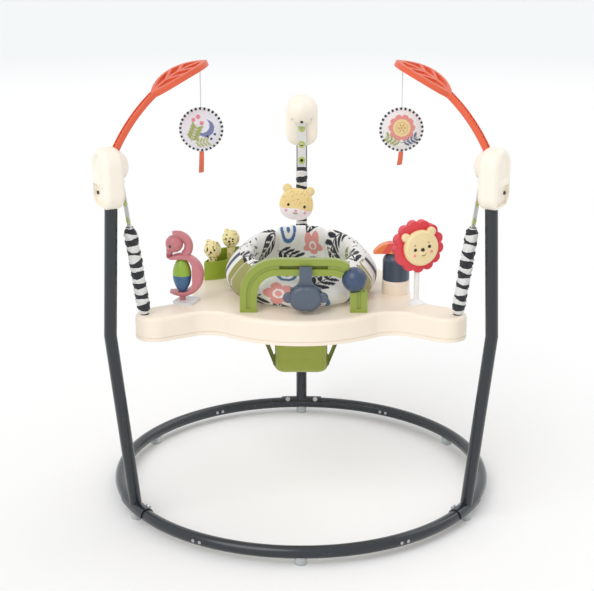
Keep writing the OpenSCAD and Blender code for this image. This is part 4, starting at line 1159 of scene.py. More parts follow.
@dataclass
class Suspension:
    """Straps, gathered sleeves and coil springs between the hubs and the tray lobes."""

    b: Builder
    sleeve_low: float = 13.1
    sleeve_len: float = 180.0
    sleeve_r: float = 13.9
    neck_r: float = 11.6
    mouth_r: float = 9.9
    lining_r: float = 8.9
    sleeve_t: float = 1.1
    map_r: float = 13.0
    bands: int = 16
    band_rows: int = 9
    sleeve_sides: int = 60
    first_seed: int = 11
    grip: float = 4.0
    spring_low: float = 19.1
    spring_high: float = 177.1
    spring_d: float = 18.0
    wire_d: float = 2.2
    turns: float = 16.0
    strap_low: float = 180.0
    strap_w: float = 20.0
    strap_t: float = 1.5
    loop_r: float = 4.5
    loop_gap: float = 0.25
    eyelets: tuple[float, ...] = (206.1, 243.1, 280.1)
    eyelet_r: float = 5.4
    stitch_side: float = 7.6
    stitch_off: float = -0.95
    stitch_from: float = 196.0
    stitch_to: float = 226.0

    def build(self) -> None:
        """Builds the three suspensions."""
        for number, station in enumerate(Station):
            self.sleeve(station, number)
            self.spring(station)
            self.strap(station)

    def stretch(self, piece: bpy.types.Object, slot: str, station: Station, node: str) -> None:
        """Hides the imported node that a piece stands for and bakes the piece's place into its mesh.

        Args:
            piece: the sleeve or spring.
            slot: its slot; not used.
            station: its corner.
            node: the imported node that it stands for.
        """
        place = self.b.layout.on_line
        high = Vector(place(station, 0.0, 0.0, self.sleeve_low + self.sleeve_len - self.grip))
        low = Vector(place(station, 0.0, 0.0, self.sleeve_low + self.grip))
        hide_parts(node)
        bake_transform(piece)
        LOG.info("%s stretches with the tray", piece.name)

    def sleeve(self, station: Station, number: int) -> None:
        """A gathered sleeve: soft bands that bulge, lean and pucker unevenly.

        Args:
            station: its corner.
            number: the corner's number, which seeds its folds.
        """
        dice = random.Random(self.first_seed + number)
        rows = self.bands * self.band_rows + 1
        step = np.arange(rows) / self.band_rows
        frac = step - np.floor(step)
        frac[-1] = 0.0
        band = np.minimum(np.floor(step).astype(int), self.bands - 1)
        fat = np.array([dice.uniform(0.35, 1.0) for _ in range(self.bands)])[band]
        bulge = (np.sin(math.pi * frac) ** 0.75 * fat)[:, None]
        ends = np.clip(np.minimum(step, self.bands - step) / 1.1, 0.0, 1.0)[:, None]
        ends = ends * ends * (3 - 2 * ends)
        knots = np.arange(self.bands + 1)
        slant = np.interp(step, knots, [dice.choice((1.0, 2.2, 3.0, 4.0)) for _ in knots])[:, None]
        phase = np.interp(step, knots, np.cumsum([dice.uniform(1.4, 3.4) for _ in knots]))[:, None]
        turn = circle(self.sleeve_sides)[None, :]
        pucker = 0.85 * np.sin(7 * turn + phase * 3) + 0.5 * np.sin(11 * turn - phase * 2)
        radius = self.neck_r + (self.sleeve_r - self.neck_r) * bulge + pucker * (0.35 + 0.65 * bulge)
        radius = np.minimum(self.mouth_r + (radius - self.mouth_r) * ends, self.sleeve_r + 0.6)
        lean = (slant * np.sin(turn + phase) + 0.9 * np.sin(2 * turn - phase * 1.7)) * ends
        along = (self.sleeve_low + self.sleeve_len * step / self.bands)[:, None] + lean
        flatter = 1.0 - 0.26 * np.clip(step - self.bands + 1.2, 0.0, 1.0)[:, None] ** 2
        outer, inner = (
            self.b.layout.on_line(station, flatter * r * np.cos(turn), r * np.sin(turn), along)
            for r in (radius, np.maximum(radius - self.sleeve_t, self.lining_r))
        )
        points = np.concatenate([outer, inner[::-1]])
        size = (TAU * self.map_r * MM, 2 * rows / (rows - 1) * self.sleeve_len * MM)
        piece = self.b.skin(f"gathered_sleeve_{station.tag}", points, "sleeve", Wrap.BOTH, size)
        self.stretch(piece, "sleeve", station, f"spring_sleeve_{station.tag}")

    def spring(self, station: Station) -> None:
        """A close coil of drawn wire inside the sleeve.

        Args:
            station: its corner.
        """
        sizes = {
            "Turns": self.turns,
            "Radius": (self.spring_d - self.wire_d) / 2 * MM,
            "Height": (self.spring_high - self.spring_low - 2 * self.wire_d) * MM,
            "Wire": self.wire_d / 2 * MM,
        }
        piece = NodeTools.coil(f"coil_spring_{station.tag}", self.b.palette.get("spring"), sizes)
        foot = self.b.layout.on_line(station, 0.0, 0.0, self.spring_low + self.wire_d)
        way = self.b.layout.on_line(station, 0.0, 0.0, self.spring_high) - foot
        turn = Vector((0.0, 0.0, 1.0)).rotation_difference(Vector(way)).to_matrix().to_4x4()
        piece.data.transform(Matrix.Translation(Vector(foot)) @ turn)
        smooth(piece.data)
        self.stretch(piece, "spring", station, f"spring_{station.tag}")

    def strap(self, station: Station) -> None:
        """A webbing strap with punched holes, looped round its peg and sewn down.

        Args:
            station: its corner.
        """
        peg = self.b.layout.line_len
        swing = np.linspace(self.loop_gap - math.pi / 2, 1.5 * math.pi - self.loop_gap, 22)
        line = [(0.0, s) for s in np.arange(self.strap_low, peg - 7.0, 1.0)]
        line += [(self.loop_r * math.cos(a), peg + self.loop_r * math.sin(a)) for a in swing]
        line += [(-2.0, s) for s in np.arange(peg - 8.0, peg - 19.0, -1.0)]
        off, along = (np.array(values)[:, None] for values in zip(*line))
        side = np.linspace(-self.strap_w / 2, self.strap_w / 2, 21)[None, :]
        points = self.b.layout.on_line(station, off, side, along)
        mid_s, mid_y = (along[:-1] + along[1:]) / 2, (side[:, :-1] + side[:, 1:]) / 2
        hole = np.min([np.hypot(mid_s - place, mid_y) for place in self.eyelets], axis=0) < self.eyelet_r
        on_face = np.abs(off[:-1]) < 0.1
        size = (self.strap_w * MM, (len(line) - 1) * MM)
        faces, uvs = without(*loft(points, Wrap.OPEN, size), hole & on_face)
        name = f"webbing_strap_{station.tag}"
        piece = make(name, points, faces, self.b.palette.get("strap"), uvs)
        thicken(piece, self.strap_t)
        self.b.ride(baked(piece, name), "frame", "webbing", f"height_strap_{station.tag}")
        sewn = np.arange(self.stitch_from, self.stitch_to, 2.0)
        for mark, edge in (("a", -self.stitch_side), ("b", self.stitch_side)):
            path = self.b.layout.on_line(station, self.stitch_off, edge, sewn)
            thread = self.b.palette.get("pale_thread")
            row = NodeTools.stitches(f"strap_stitch_{station.tag}_{mark}", path, thread)
            self.b.ride(row, "frame", "webbing")


@dataclass
class HangingToys:
    """Cords, stuffed discs with checked piping, ribbons and the plush head."""

    b: Builder
    cord_len: float = 74.0
    cord_d: float = 2.0
    knot_scale: float = 0.52
    knot_thread_r: float = 0.8
    disc_d: float = 87.0
    disc_t: float = 26.0
    disc_sides: int = 144
    disc_map_r: float = 30.0
    piping_d: float = 6.4
    piping_map: Pair = (0.24992, 0.02)
    gap: float = 0.2
    ribbon_w: float = 10.0
    ribbon_t: float = 0.7
    ribbon_left: float = 47.0
    ribbon_right: float = 28.0
    curl_r: float = 90.0
    fur: str = "#f4db9a"
    # Distance out from the middle, to the side and up.
    head_at: Triple = (329.5, 12.0, 541.0)
    head_tilt: float = 9.0
    head_half: Triple = (39.5, 20.5, 37.5)
    head_map: Pair = (0.27, 0.13)
    head_grid: tuple[int, int] = (72, 112)
    ear_half: Triple = (10.8, 5.5, 10.8)
    ear_x: float = 26.5
    ear_z: float = 34.0
    # Shares of a bead's radius and how far they stand proud, from its sunk foot to its crown.
    bead: tuple[Pair, ...] = ((1.0, -2.5), (1.0, 0.2), (0.85, 0.9), (0.5, 1.4), (0.01, 1.6))
    bead_tall: float = 1.15
    loop_r: float = 15.0
    loop_t: float = 1.6
    loop_w: float = 15.0
    loop_along: float = 114.2

    def build(self) -> None:
        """Builds both hanging toys and the plush head."""
        for station, ribbon in ((Station.LEFT, self.ribbon_left), (Station.RIGHT, self.ribbon_right)):
            self.cord(station)
            self.disc(station)
            self.ribbon(station, ribbon)
        self.plush_head()
        self.plush_ears()
        self.plush_face()
        self.plush_loop()

    def hung(self, station: Station, points: np.ndarray) -> np.ndarray:
        """Points in millimetres from a toy's knot, in metres in the shared frame."""
        return np.asarray(points, float) * MM + self.b.layout.knot(station)

    def cord(self, station: Station) -> None:
        """A thin cord that hangs straight from its knot, with the knot as its own piece.

        Args:
            station: its corner.
        """
        tag, body = station.tag, f"toy_{station.tag}"
        drop = np.linspace(0.0, -self.cord_len, 24)
        path = self.hung(station, np.stack([0.12 * np.sin(drop / 9.0), 0 * drop, drop], axis=-1))
        shape = bpy.data.curves.new(f"toy_line_{tag}", "CURVE")
        shape.dimensions = "3D"
        shape.bevel_depth = self.cord_d / 2 * MM
        shape.bevel_resolution = 3
        shape.use_fill_caps = True
        spline = shape.splines.new("POLY")
        spline.points.add(len(path) - 1)
        for point, place in zip(spline.points, path):
            point.co = (*place, 1.0)
        shape.materials.append(self.b.palette.get("cord"))
        piece = bpy.data.objects.new(f"toy_line_{tag}", shape)
        bpy.context.scene.collection.objects.link(piece)
        # The knot is a trefoil.
        a = circle(72)
        wound = (np.sin(a) + 2 * np.sin(2 * a), np.cos(a) - 2 * np.cos(2 * a), -np.sin(3 * a))
        knot = np.stack(wound, axis=-1)
        rings = tube(np.vstack([knot, knot[:1]]) * self.knot_scale, self.knot_thread_r, 8)[:-1]
        tied = self.b.skin(f"line_knot_{tag}", self.hung(station, rings), "cord", Wrap.BOTH, (0.02, 0.003))
        self.b.ride(tied, body, "cord")
        self.b.ride(piece, body, "cord", f"toy_cord_{tag}")

    def disc(self, station: Station) -> None:
        """A stuffed disc with puckered seams, a generic print and checked piping.

        Args:
            station: its corner.
        """
        tag, body = station.tag, f"toy_{station.tag}"
        radius = (self.disc_d - self.piping_d) / 2
        middle = np.array([0.0, 0.0, -self.cord_len - self.gap - self.disc_d / 2])
        share = np.concatenate([np.linspace(0.004, 0.9, 30), np.linspace(0.92, 1.0, 6)])[:, None]
        turn = circle(self.disc_sides)[None, :]
        pucker = 0.55 * np.cos(20 * turn) * (share**8 * (1 - share**20))
        depth = self.disc_t / 2 * (1 - share**2.2) ** 0.62 + pucker
        x, z = radius * share * np.cos(turn), radius * share * np.sin(turn)
        points = np.concatenate([np.stack([x, -depth, z], axis=-1), np.stack([x, depth, z], axis=-1)[::-1]])
        flat = points.reshape(-1, 3)
        draw = self.left_print if station is Station.LEFT else self.right_print
        colours = draw(flat[:, 0], flat[:, 2]).colour
        size = (TAU * self.disc_map_r * MM, 4 * radius * MM)
        place = self.hung(station, points + middle)
        piece = self.b.skin(
            f"stuffed_disc_{tag}", place, "disc", Wrap.COLUMNS, size, colours=colours, weld=0.00045
        )
        self.b.ride(piece, body, "disc_cloth", f"hanging_disc_{tag}")
        around, small = circle(180)[None, :], circle(12)[:, None]
        rope = self.piping_d / 2 * (1.0 + 0.03 * np.cos(44 * around))
        reach = radius + rope * np.cos(small)
        rings = np.stack([reach * np.cos(around), rope * np.sin(small), reach * np.sin(around)], axis=-1)
        place = self.hung(station, rings + middle)
        piping = self.b.skin(f"checked_piping_{tag}", place, "check", Wrap.BOTH, self.piping_map)
        self.b.ride(piping, body, "disc_cloth")

    @staticmethod
    def left_print(x: np.ndarray, z: np.ndarray) -> Print:
        """A fern, a moon and a few dots on a pale ground.

        Args:
            x: the points' places across, in millimetres.
            z: their places upwards.

        Returns:
            The print.
        """
        art = Print(x, z, "#f3f0f7")
        p, q = art.local((9.0, 4.0), 0.0, 1.0)
        moon = (np.hypot(p, q) < 17.0) & (np.hypot(p + 6.0, q - 5.0) > 14.0)
        art.fill(moon, "#7f86b4")
        art.sprig((-13.0, -6.0), 68.0, 1.0, "#a9b06a", 5)
        art.sprig((2.0, -24.0), 10.0, 0.8, "#b9bf7c", 4)
        for place in ((-14.0, 20.0), (-5.0, 26.0), (2.0, 14.0)):
            art.dot(place, 4.2, "#ee8f9a")
        for place in ((20.0, -17.0), (27.0, -8.0), (13.0, -12.0)):
            art.dot(place, 2.6, "#39415f")
        return art

    @staticmethod
    def right_print(x: np.ndarray, z: np.ndarray) -> Print:
        """A round-petalled flower over two sprigs on a pale ground.

        Args:
            x: the points' places across, in millimetres.
            z: their places upwards.

        Returns:
            The print.
        """
        middle, petal_ring, seed_ring = 5.0, 19.0, 6.0
        art = Print(x, z, "#f6f1ef")
        art.sprig((16.0, -19.0), 20.0, 0.9, "#6d7590", 4)
        art.sprig((-16.0, -19.0), 160.0, 0.9, "#a7ab68", 4)
        for a in circle(10):
            art.dot((petal_ring * math.cos(a), middle + petal_ring * math.sin(a)), 7.2, "#eb9890")
        art.dot((0.0, middle), 17.0, "#f4dba2")
        art.ring((0.0, middle), 11.0, 1.6, "#e6b873")
        for a in circle(6):
            art.dot((seed_ring * math.cos(a), middle + seed_ring * math.sin(a)), 1.5, "#b5793f")
        return art

    def ribbon(self, station: Station, length: float) -> None:
        """A satin ribbon that hangs from the disc and curls a little.

        Args:
            station: its corner.
            length: its length in millimetres.
        """
        share = np.linspace(0.0, 1.0, 28)[:, None]
        side = np.linspace(-self.ribbon_w / 2, self.ribbon_w / 2, 7)[None, :]
        bend = length * share / self.curl_r
        top = -self.cord_len - 2 * self.gap - self.disc_d
        cup = 0.35 * (side / (self.ribbon_w / 2)) ** 2
        drift = 2.5 * share**1.5
        wide = 1.0 - 0.12 * (1 - share) ** 2
        x = side * wide - drift
        y = self.curl_r * (1 - np.cos(bend)) - 0.5 + cup
        z = top - self.curl_r * np.sin(bend) + 0.14 * side * share
        points = self.hung(station, np.stack([x, y, z], axis=-1))
        name = f"satin_ribbon_{station.tag}"
        flat = (self.ribbon_w * MM, length * MM)
        piece = self.b.skin(name, points, "ribbon", Wrap.OPEN, flat)
        thicken(piece, self.ribbon_t)
        piece = baked(piece, name)
        self.b.ride(piece, f"toy_{station.tag}", "ribbon", f"disc_ribbon_{station.tag}")

    def on_head(self, local: np.ndarray) -> np.ndarray:
        """Points in millimetres from the plush head's middle, tilted, in metres in the shared frame."""
        tilt = np.array(Matrix.Rotation(math.radians(self.head_tilt), 3, "Y"))
        return local @ tilt.T * MM + self.b.layout.turned(Station.REAR, *self.head_at)

    def plush_head(self) -> None:
        """A stuffed spotted cat head with a soft muzzle."""
        lat, lon = globe(*self.head_grid)
        w, d, h = self.head_half
        x = w * power(np.cos(lat), 0.82) * power(np.cos(lon), 0.82)
        y = d * power(np.cos(lat), 0.8) * power(np.sin(lon), 0.9)
        z = h * power(np.sin(lat), 0.86) * np.ones_like(lon)
        x = x * (1.0 - 0.1 * np.clip(z / h, 0.0, 1.0))
        snout = np.exp(-((x / 21.0) ** 2 + ((z + 14.5) / 13.0) ** 2)) * (y < 0)
        points = np.stack([x, y - 6.0 * snout, z], axis=-1)
        art = Print(x.ravel(), z.ravel(), self.fur)
        dice = random.Random(5)
        for _ in range(70):
            art.dot((dice.uniform(-38, 38), dice.uniform(5, 38)), dice.uniform(0.7, 1.2), "#cfa45c")
        art.fill(art.up < -8.0 + 3.0 * np.cos(art.across / 40.0 * math.pi), "#f5f0f3")
        for side in (-1.0, 1.0):
            art.dot((side * 22.0, -14.0), 3.4, "#eaa3b5")
        place, looks = self.on_head(points), {"colours": art.colour, "weld": 0.0004}
        piece = self.b.skin("plush_cat_head", place, "plush", Wrap.COLUMNS, self.head_map, **looks)
        self.b.ride(piece, "frame", "plush", "plush_head")

    def plush_ears(self) -> None:
        """Two round ears with a pale inside."""
        lat, lon = globe(*self.head_grid)
        round_lat = (np.cos(lat) * np.cos(lon), np.cos(lat) * np.sin(lon), np.sin(lat) * np.ones_like(lon))
        ball = np.stack(round_lat, axis=-1) * np.array(self.ear_half)
        flat = ball.reshape(-1, 3)
        art = Print(flat[:, 0], flat[:, 2], self.fur)
        art.fill((np.hypot(art.across, art.up + 1.0) < 6.0) & (flat[:, 1] < 0), "#f7e6b4")
        looks = {"colours": art.colour, "weld": 0.0002}
        for number, side in enumerate((-1.0, 1.0)):
            place = self.on_head(ball + np.array([side * self.ear_x, 0.0, self.ear_z]))
            ear = self.b.skin(f"plush_ear_{number}", place, "plush", Wrap.COLUMNS, self.head_map, **looks)
            self.b.ride(ear, "frame", "plush")

    def plush_face(self) -> None:
        """Eyes, nose and mouth of the plush head."""
        turn = circle(20)
        share, lift = (np.array(values)[:, None] for values in zip(*self.bead))
        width, depth, _ = self.head_half
        beads = (
            (-18.0, 0.0, 3.7, 0.9, "ink"),
            (18.0, 0.0, 3.7, 0.9, "ink"),
            (0.0, -10.5, 2.8, 5.0, "blush"),
        )
        for number, (x, z, r, proud, finish) in enumerate(beads):
            front = -depth * (1 - (x / width) ** 2) ** 0.5 - proud
            across = x + r * share * np.cos(turn)
            up = z + self.bead_tall * r * share * np.sin(turn)
            place = self.on_head(np.stack([across, 0 * across + front - lift, up], axis=-1))
            bead = self.b.skin(f"plush_bead_{number}", place, finish, Wrap.COLUMNS, (0.02, 0.01), weld=1e-5)
            self.b.ride(bead, "frame", "plush")
        smile = np.linspace(-1.0, 1.0, 15)
        path = np.stack([5.0 * smile, -depth - 5.9 + 1.2 * smile**2, -17.0 + 2.2 * smile**2], axis=-1)
        place = self.on_head(tube(path, 0.6, 8))
        mouth = self.b.skin("plush_mouth", place, "ink", Wrap.COLUMNS, (0.004, 0.02))
        self.b.ride(mouth, "frame", "plush")

    def plush_loop(self) -> None:
        """The loop that holds the plush head to the rear sleeve."""
        turn = circle(64)[:, None]
        inner, outer, half = self.loop_r, self.loop_r + self.loop_t, self.loop_w / 2
        off = np.array([inner, inner, outer, outer])
        along = self.loop_along + np.array([-half, half, half, -half])
        band = self.b.layout.on_line(Station.REAR, off * np.cos(turn), off * np.sin(turn), along)
        tie = self.b.skin("plush_loop", band, "ribbon", Wrap.BOTH, (0.018, 0.1))
        self.b.ride(tie, "frame", "plush")


@dataclass
class TrayToys:
    """The moulded tray and its toys: finishes for the solids, and small faces on the animals."""

    b: Builder
    lion: Triple = (234.0, -106.0, 559.0)
    lion_yaw: float = 20.0
    lion_roll: float = 10.0
    line_r: float = 0.65
    flamingo: Triple = (-242.0, -98.0, 496.0)
    flamingo_head: Triple = (-14.0, 0.0, 65.0)
    flamingo_root: Triple = (-22.0, 0.0, 56.0)
    bill_deg: float = 192.0
    # Places along the bill and the tip's radii there.
    bill_along: tuple[float, ...] = (13.0, 13.2, 18.0, 21.6, 22.3, 22.4)
    bill_r: tuple[float, ...] = (5.6, 6.4, 5.25, 4.4, 2.6, 0.01)
    cup: Triple = (-172.0, 92.0, 438.0)
    cup_yaw: float = 46.0
    cub_aside: float = 27.0
    cub_bearing: float = 262.0
    cub_r: float = 18.8

    def build(self) -> None:
        """Dresses the tray and its toys and adds the faces."""
        self.b.dress({
            "tray": ["tray_shell"],
            "lime": ["toy_arch"],
            "cup": ["leaf_cup"],
            "slate": ["arch_slider"],
            "toucan": ["toucan_body"],
            "beak": ["toucan_beak"],
            "navy": ["arch_bead"],
            "white": ["lion_post"],
            "grey": ["flamingo_base"],
            "pink": ["flamingo_body"],
            "zinc": ["roller_pin"],
            "green": ["roller_cap"],
            "blue": ["roller_cup"],
            "red": ["lion_mane"],
            "cream": ["lion_face"],
            "cub": ["leaf_cubs"],
        })
        self.lion_features()
        self.flamingo_eyes()
        self.flamingo_bill()
        self.cub_faces()
        LOG.info("tray toys dressed")

    def on_lion(self, x: float, proud: float, z: float) -> np.ndarray:
        """A point on the lion's tilted face.

        Args:
            x: distance to the face's right.
            proud: distance forward.
            z: distance up.

        Returns:
            The point in millimetres from the ring's middle.
        """
        yaw, roll = math.radians(self.lion_yaw), math.radians(self.lion_roll)
        across = x * math.cos(roll) - z * math.sin(roll)
        lift = x * math.sin(roll) + z * math.cos(roll)
        right = np.array([math.cos(yaw), math.sin(yaw), 0.0])
        front = np.array([math.sin(yaw), -math.cos(yaw), 0.0])
        return np.array(self.lion) + right * across + front * proud + np.array([0.0, 0.0, lift])

    def lion_features(self) -> None:
        """Eyes, brows, nose, smile and cheeks on the lion's face."""
        yaw = math.radians(self.lion_yaw)
        front = np.array([math.sin(yaw), -math.cos(yaw), 0.0])
        buttons = [
            ("lion_eye_a", (-15.5, 23.8, 1.0), 3.5, 1.2, "ink"),
            ("lion_eye_b", (15.5, 23.8, 1.0), 3.5, 1.2, "ink"),
            ("lion_cheek_a", (-18.5, 23.9, -10.5), 3.4, 0.3, "blush"),
            ("lion_cheek_b", (18.5, 23.9, -10.5), 3.4, 0.3, "blush"),
            ("lion_nose", (0.0, 24.6, -2.4), 3.9, 2.4, "ink"),
        ]
        for name, place, radius, height, finish in buttons:
            piece = self.b.dome(name, self.on_lion(*place), front, radius, height, finish)
            self.b.ride(piece, "lion_head", "cream")
        mouth = np.linspace(-4.5, 4.5, 13)
        lines = {
            "lion_smile": [(x, 27.2 - 0.05 * x * x, 0.09 * x * x - 13.5) for x in mouth],
            "lion_brow_a": [(x, 24.1, 10.0 + 0.25 * (x + 15)) for x in np.linspace(-17.0, -13.0, 6)],
            "lion_brow_b": [(x, 24.1, 10.0 - 0.25 * (x - 15)) for x in np.linspace(13.0, 17.0, 6)],
        }
        for name, marks in lines.items():
            rings = tube(np.array([self.on_lion(*mark) for mark in marks]), self.line_r, 8)
            line = self.b.skin(name, self.b.layout.at(rings), "ink", Wrap.COLUMNS, (0.004, 0.012))
            self.b.ride(line, "lion_head", "cream")

    def flamingo_eyes(self) -> None:
        """Eyes on both sides of the flamingo's head."""
        head = np.array(self.flamingo) + np.array(self.flamingo_head)
        shift = np.array([-1.0, 0.0, 1.3])
        for mark, side in (("a", -1.0), ("b", 1.0)):
            facing = unit(np.array([-8.0, side * 15.4, -2.0]))
            eye = self.b.dome(f"flamingo_eye_{mark}", head + 17.7 * facing, facing, 3.2, 1.1, "ink")
            self.b.ride(eye, "tray", "pink")
            place = head + 18.7 * facing + shift
            glint = self.b.dome(f"flamingo_glint_{mark}", place, facing, 0.9, 0.4, "white")
            self.b.ride(glint, "tray", "white")

    def flamingo_bill(self) -> None:
        """A dark tip on the flamingo's bill."""
        root = np.array(self.flamingo) + np.array(self.flamingo_root)
        slope, turn = math.radians(self.bill_deg), circle(28)
        way, aside = np.array([math.sin(slope), 0.0, math.cos(slope)]), np.array([0.0, 1.0, 0.0])
        ring = np.outer(np.cos(turn), np.cross(way, aside)) + np.outer(np.sin(turn), aside)
        along, girth = np.array(self.bill_along)[:, None, None], np.array(self.bill_r)[:, None, None]
        place = self.b.layout.at(root + along * way + girth * ring)
        tip = self.b.skin("flamingo_bill_tip", place, "pink_dark", Wrap.COLUMNS, (0.03, 0.01), weld=1e-5)
        self.b.ride(tip, "tray", "pink")

    def cub_faces(self) -> None:
        """Eyes and noses on the two cubs."""
        yaw = math.radians(self.cup_yaw)
        parts = (("eye_l", -24.0, 0.16, 2.3), ("eye_r", 24.0, 0.16, 2.3), ("nose", 0.0, -0.12, 2.6))
        for mark, side, lift in (("a", -1.0, 64.0), ("b", 1.0, 78.0)):
            aside = side * self.cub_aside
            head = np.array(self.cup) + np.array([aside * math.cos(yaw), aside * math.sin(yaw), lift])
            for part, turn, rise, radius in parts:
                a = math.radians(self.cub_bearing + turn)
                facing = unit(np.array([math.cos(a), math.sin(a), rise]))
                place = head + self.cub_r * facing
                piece = self.b.dome(f"cub_{mark}_{part}", place, facing, radius, 1.0, "ink")
                self.b.ride(piece, "tray", "cream")


@dataclass
class Seat:
    """Turning ring, stuffed printed collar and hanging sling."""

    b: Builder
    collar_w: float = 64.0
    collar_skin: float = 3.0
    collar_grid: tuple[int, int] = (150, 38)
    mid_r: float = 133.0
    low_z: float = 441.3
    front_h: float = 66.0
    rise: float = 38.0
    sink: float = 4.0
    lean: float = 20.0
    tuck: float = 6.0
    swell_pressure: float = 3.5
    swell_frames: int = 14
    swell_cap: float = 6.0
    piping_r: float = 1.5
    piping_z: float = 470.0
    print_seed: int = 21
    hem_r: float = 118.4
    hem_h: float = 16.0
    bottom_z: float = 261.0
    bag_w: float = 108.0
    bag_l: float = 100.0
    corner: float = 18.0
    inset: float = 1.4
    sag: float = 3.0
    soft_r: float = 12.0
    panel_w: float = 106.0
    side_w: float = 34.0
    panel_cols: int = 30
    side_cols: int = 12
    gap_cols: int = 10
    cloth_t: float = 2.2
    rim_w: float = 0.7
    binding_r: float = 1.9
    seams: tuple[float, ...] = (18.0, 62.0, 118.0, 162.0, 204.0, 236.0, 304.0, 336.0)

    def build(self) -> None:
        """Builds the seat."""
        self.b.dress({"ring": ["seat_ring", "seat_retainer"]})
        self.collar()
        self.collar_piping()
        self.sling()

    def seam_gap(self, bearing: np.ndarray) -> np.ndarray:
        """Degrees from bearings in radians to the nearest seam."""
        return np.min([np.abs((np.degrees(bearing) - s + 180) % 360 - 180) for s in self.seams], axis=0)

    def section(self, bearing: np.ndarray, turn: np.ndarray) -> np.ndarray:
        """Points of the collar's skin before stuffing.

        Args:
            bearing: angle round the seat, in radians.
            turn: angle round the roll, in radians.

        Returns:
            Points in millimetres from the ring's middle.
        """
        back = (1 + np.sin(bearing)) / 2
        half = (self.front_h + self.sink + self.rise * back) / 2
        pinch = np.exp(-((self.seam_gap(bearing) / 2.6) ** 2)) * np.clip(np.sin(turn) + 0.75, 0, 1)
        plump = (self.collar_w / 2 - back * self.tuck - self.collar_skin) * (1 - 0.2 * pinch)
        r = self.mid_r + plump * np.cos(turn) - self.lean * np.maximum(0, np.sin(turn))
        z = self.low_z + np.maximum(0.4, half * (1 - 0.1 * pinch) * (1 + np.sin(turn)) - self.sink)
        return np.stack([r * np.cos(bearing), r * np.sin(bearing), z], axis=-1)

    def collar(self) -> None:
        """A stuffed collar, swollen by simulation between its seams and printed with generic motifs."""
        rows, cols = self.collar_grid
        bearing, turn = np.meshgrid(circle(rows), circle(cols) + 0.05, indexing="ij")
        points = self.b.layout.at(self.section(bearing, turn))
        piece = self.b.skin("stuffed_collar", points, "collar", Wrap.BOTH, (0.25, 0.9))
        held = (self.seam_gap(bearing) < 1.1) | (np.sin(turn) < -0.55)
        swell(piece, held.ravel() * 1.0, self.swell_pressure, self.swell_frames, self.swell_cap * MM)
        piece = finer(piece, 2)
        flat = (np.array([v.co for v in piece.data.vertices]) - self.b.layout.at(np.zeros(3))) / MM
        paint(piece.data, self.collar_print(flat).colour)
        smooth(piece.data)
        self.b.ride(piece, "seat", "collar", "seat_pad")

    def collar_piping(self) -> None:
        """White piping in the collar's seams."""
        sweep = np.radians(np.linspace(-20.0, 200.0, 46))
        for number, seam in enumerate(np.radians(self.seams)):
            path = self.section(np.full(len(sweep), seam), sweep)
            core = np.array([self.mid_r * math.cos(seam), self.mid_r * math.sin(seam), self.piping_z])
            rings = tube(path + 0.6 * unit(path - core), self.piping_r, 8)
            place = self.b.layout.at(rings)
            cord = self.b.skin(f"collar_piping_{number}", place, "strap", Wrap.COLUMNS, (0.008, 0.2))
            self.b.ride(cord, "seat", "collar")

    def collar_print(self, flat: np.ndarray) -> Print:
        """Sprigs, leaves, rings and dots round the collar, with plain side panels.

        Args:
            flat: points in millimetres from the ring's middle.

        Returns:
            The finished print.
        """
        bearing = np.degrees(np.arctan2(flat[:, 1], flat[:, 0])) % 360
        reach = np.hypot(flat[:, 0], flat[:, 1])
        back = (1 + np.sin(np.radians(bearing))) / 2
        half = (self.front_h + self.rise * back) / 2
        lift = (flat[:, 2] - self.low_z - half) * 34.0 / half
        turn = np.degrees(np.arctan2(lift, reach - self.mid_r + 8.0))
        girth = np.where(turn < -100, turn + 360, turn) * 0.72
        art = Print(bearing * 2.5, girth)
        dice = random.Random(self.print_seed)
        leaf, sprig, small = Motif.LEAF, Motif.SPRIG, Motif.SMALL_LEAF
        order = (leaf, Motif.FLOWER, sprig, leaf, Motif.RING, leaf, Motif.DOTS, sprig, leaf, small)
        levels = 5
        for column in range(12):
            for level in range(levels):
                shift = 30.0 if column % 2 else 0.0
                place = (38.0 + 75.0 * column + dice.uniform(-6, 6), -62.0 + 60.0 * level + shift)
                count = column * levels + level
                self.motif(art, order[(count * 3 + column) % len(order)], place, dice)
        panels = (
            (182.0, 222.0, 60.0, Print.GROUND),
            (184.0, 191.0, 60.0, "#2d3a58"),
            (198.0, 220.0, 60.0, "#a3a25c"),
            (320.0, 358.0, 48.0, Print.GROUND),
            (322.0, 338.0, 48.0, "#a3a25c"),
            (345.0, 351.0, 48.0, "#1c212c"),
        )
        for low, high, top, code in panels:
            art.fill((bearing > low) & (bearing < high) & (girth < top), code)
        return art

    @staticmethod
    def motif(art: Print, kind: Motif, place: Pair, dice: random.Random) -> None:
        """Draws one motif of the collar.

        Args:
            art: the print.
            kind: which motif.
            place: its middle.
            dice: gives its turn and its scatter.
        """
        turn = dice.uniform(25, 155)
        if kind is Motif.SPRIG:
            art.sprig(place, turn, 2.1, "#1d2230", 4)
        elif kind is Motif.LEAF:
            art.leaf(place, turn, 2.1, "#1c212c", Print.GROUND)
        elif kind is Motif.FLOWER:
            art.flower(place, turn, 30.0, "#f0a39d", Print.GROUND)
        elif kind is Motif.RING:
            art.ring(place, 19.0, 8.0, "#4a76a8")
        elif kind is Motif.SMALL_LEAF:
            art.leaf(place, turn, 1.6, "#98a054", "#eef0dc")
        else:
            for _ in range(26):
                spot = (place[0] + dice.uniform(-32, 32), place[1] + dice.uniform(-28, 28))
                art.dot(spot, 2.6, "#2a2d35")

    def outline(self, x: np.ndarray) -> np.ndarray:
        """Half depth of the sling's bottom at a distance from its middle."""
        over = np.clip(np.abs(x) - (self.bag_w / 2 - self.corner), 0.0, self.corner)
        return self.bag_l / 2 - self.corner + np.sqrt(np.maximum(self.corner**2 - over**2, 0.0))

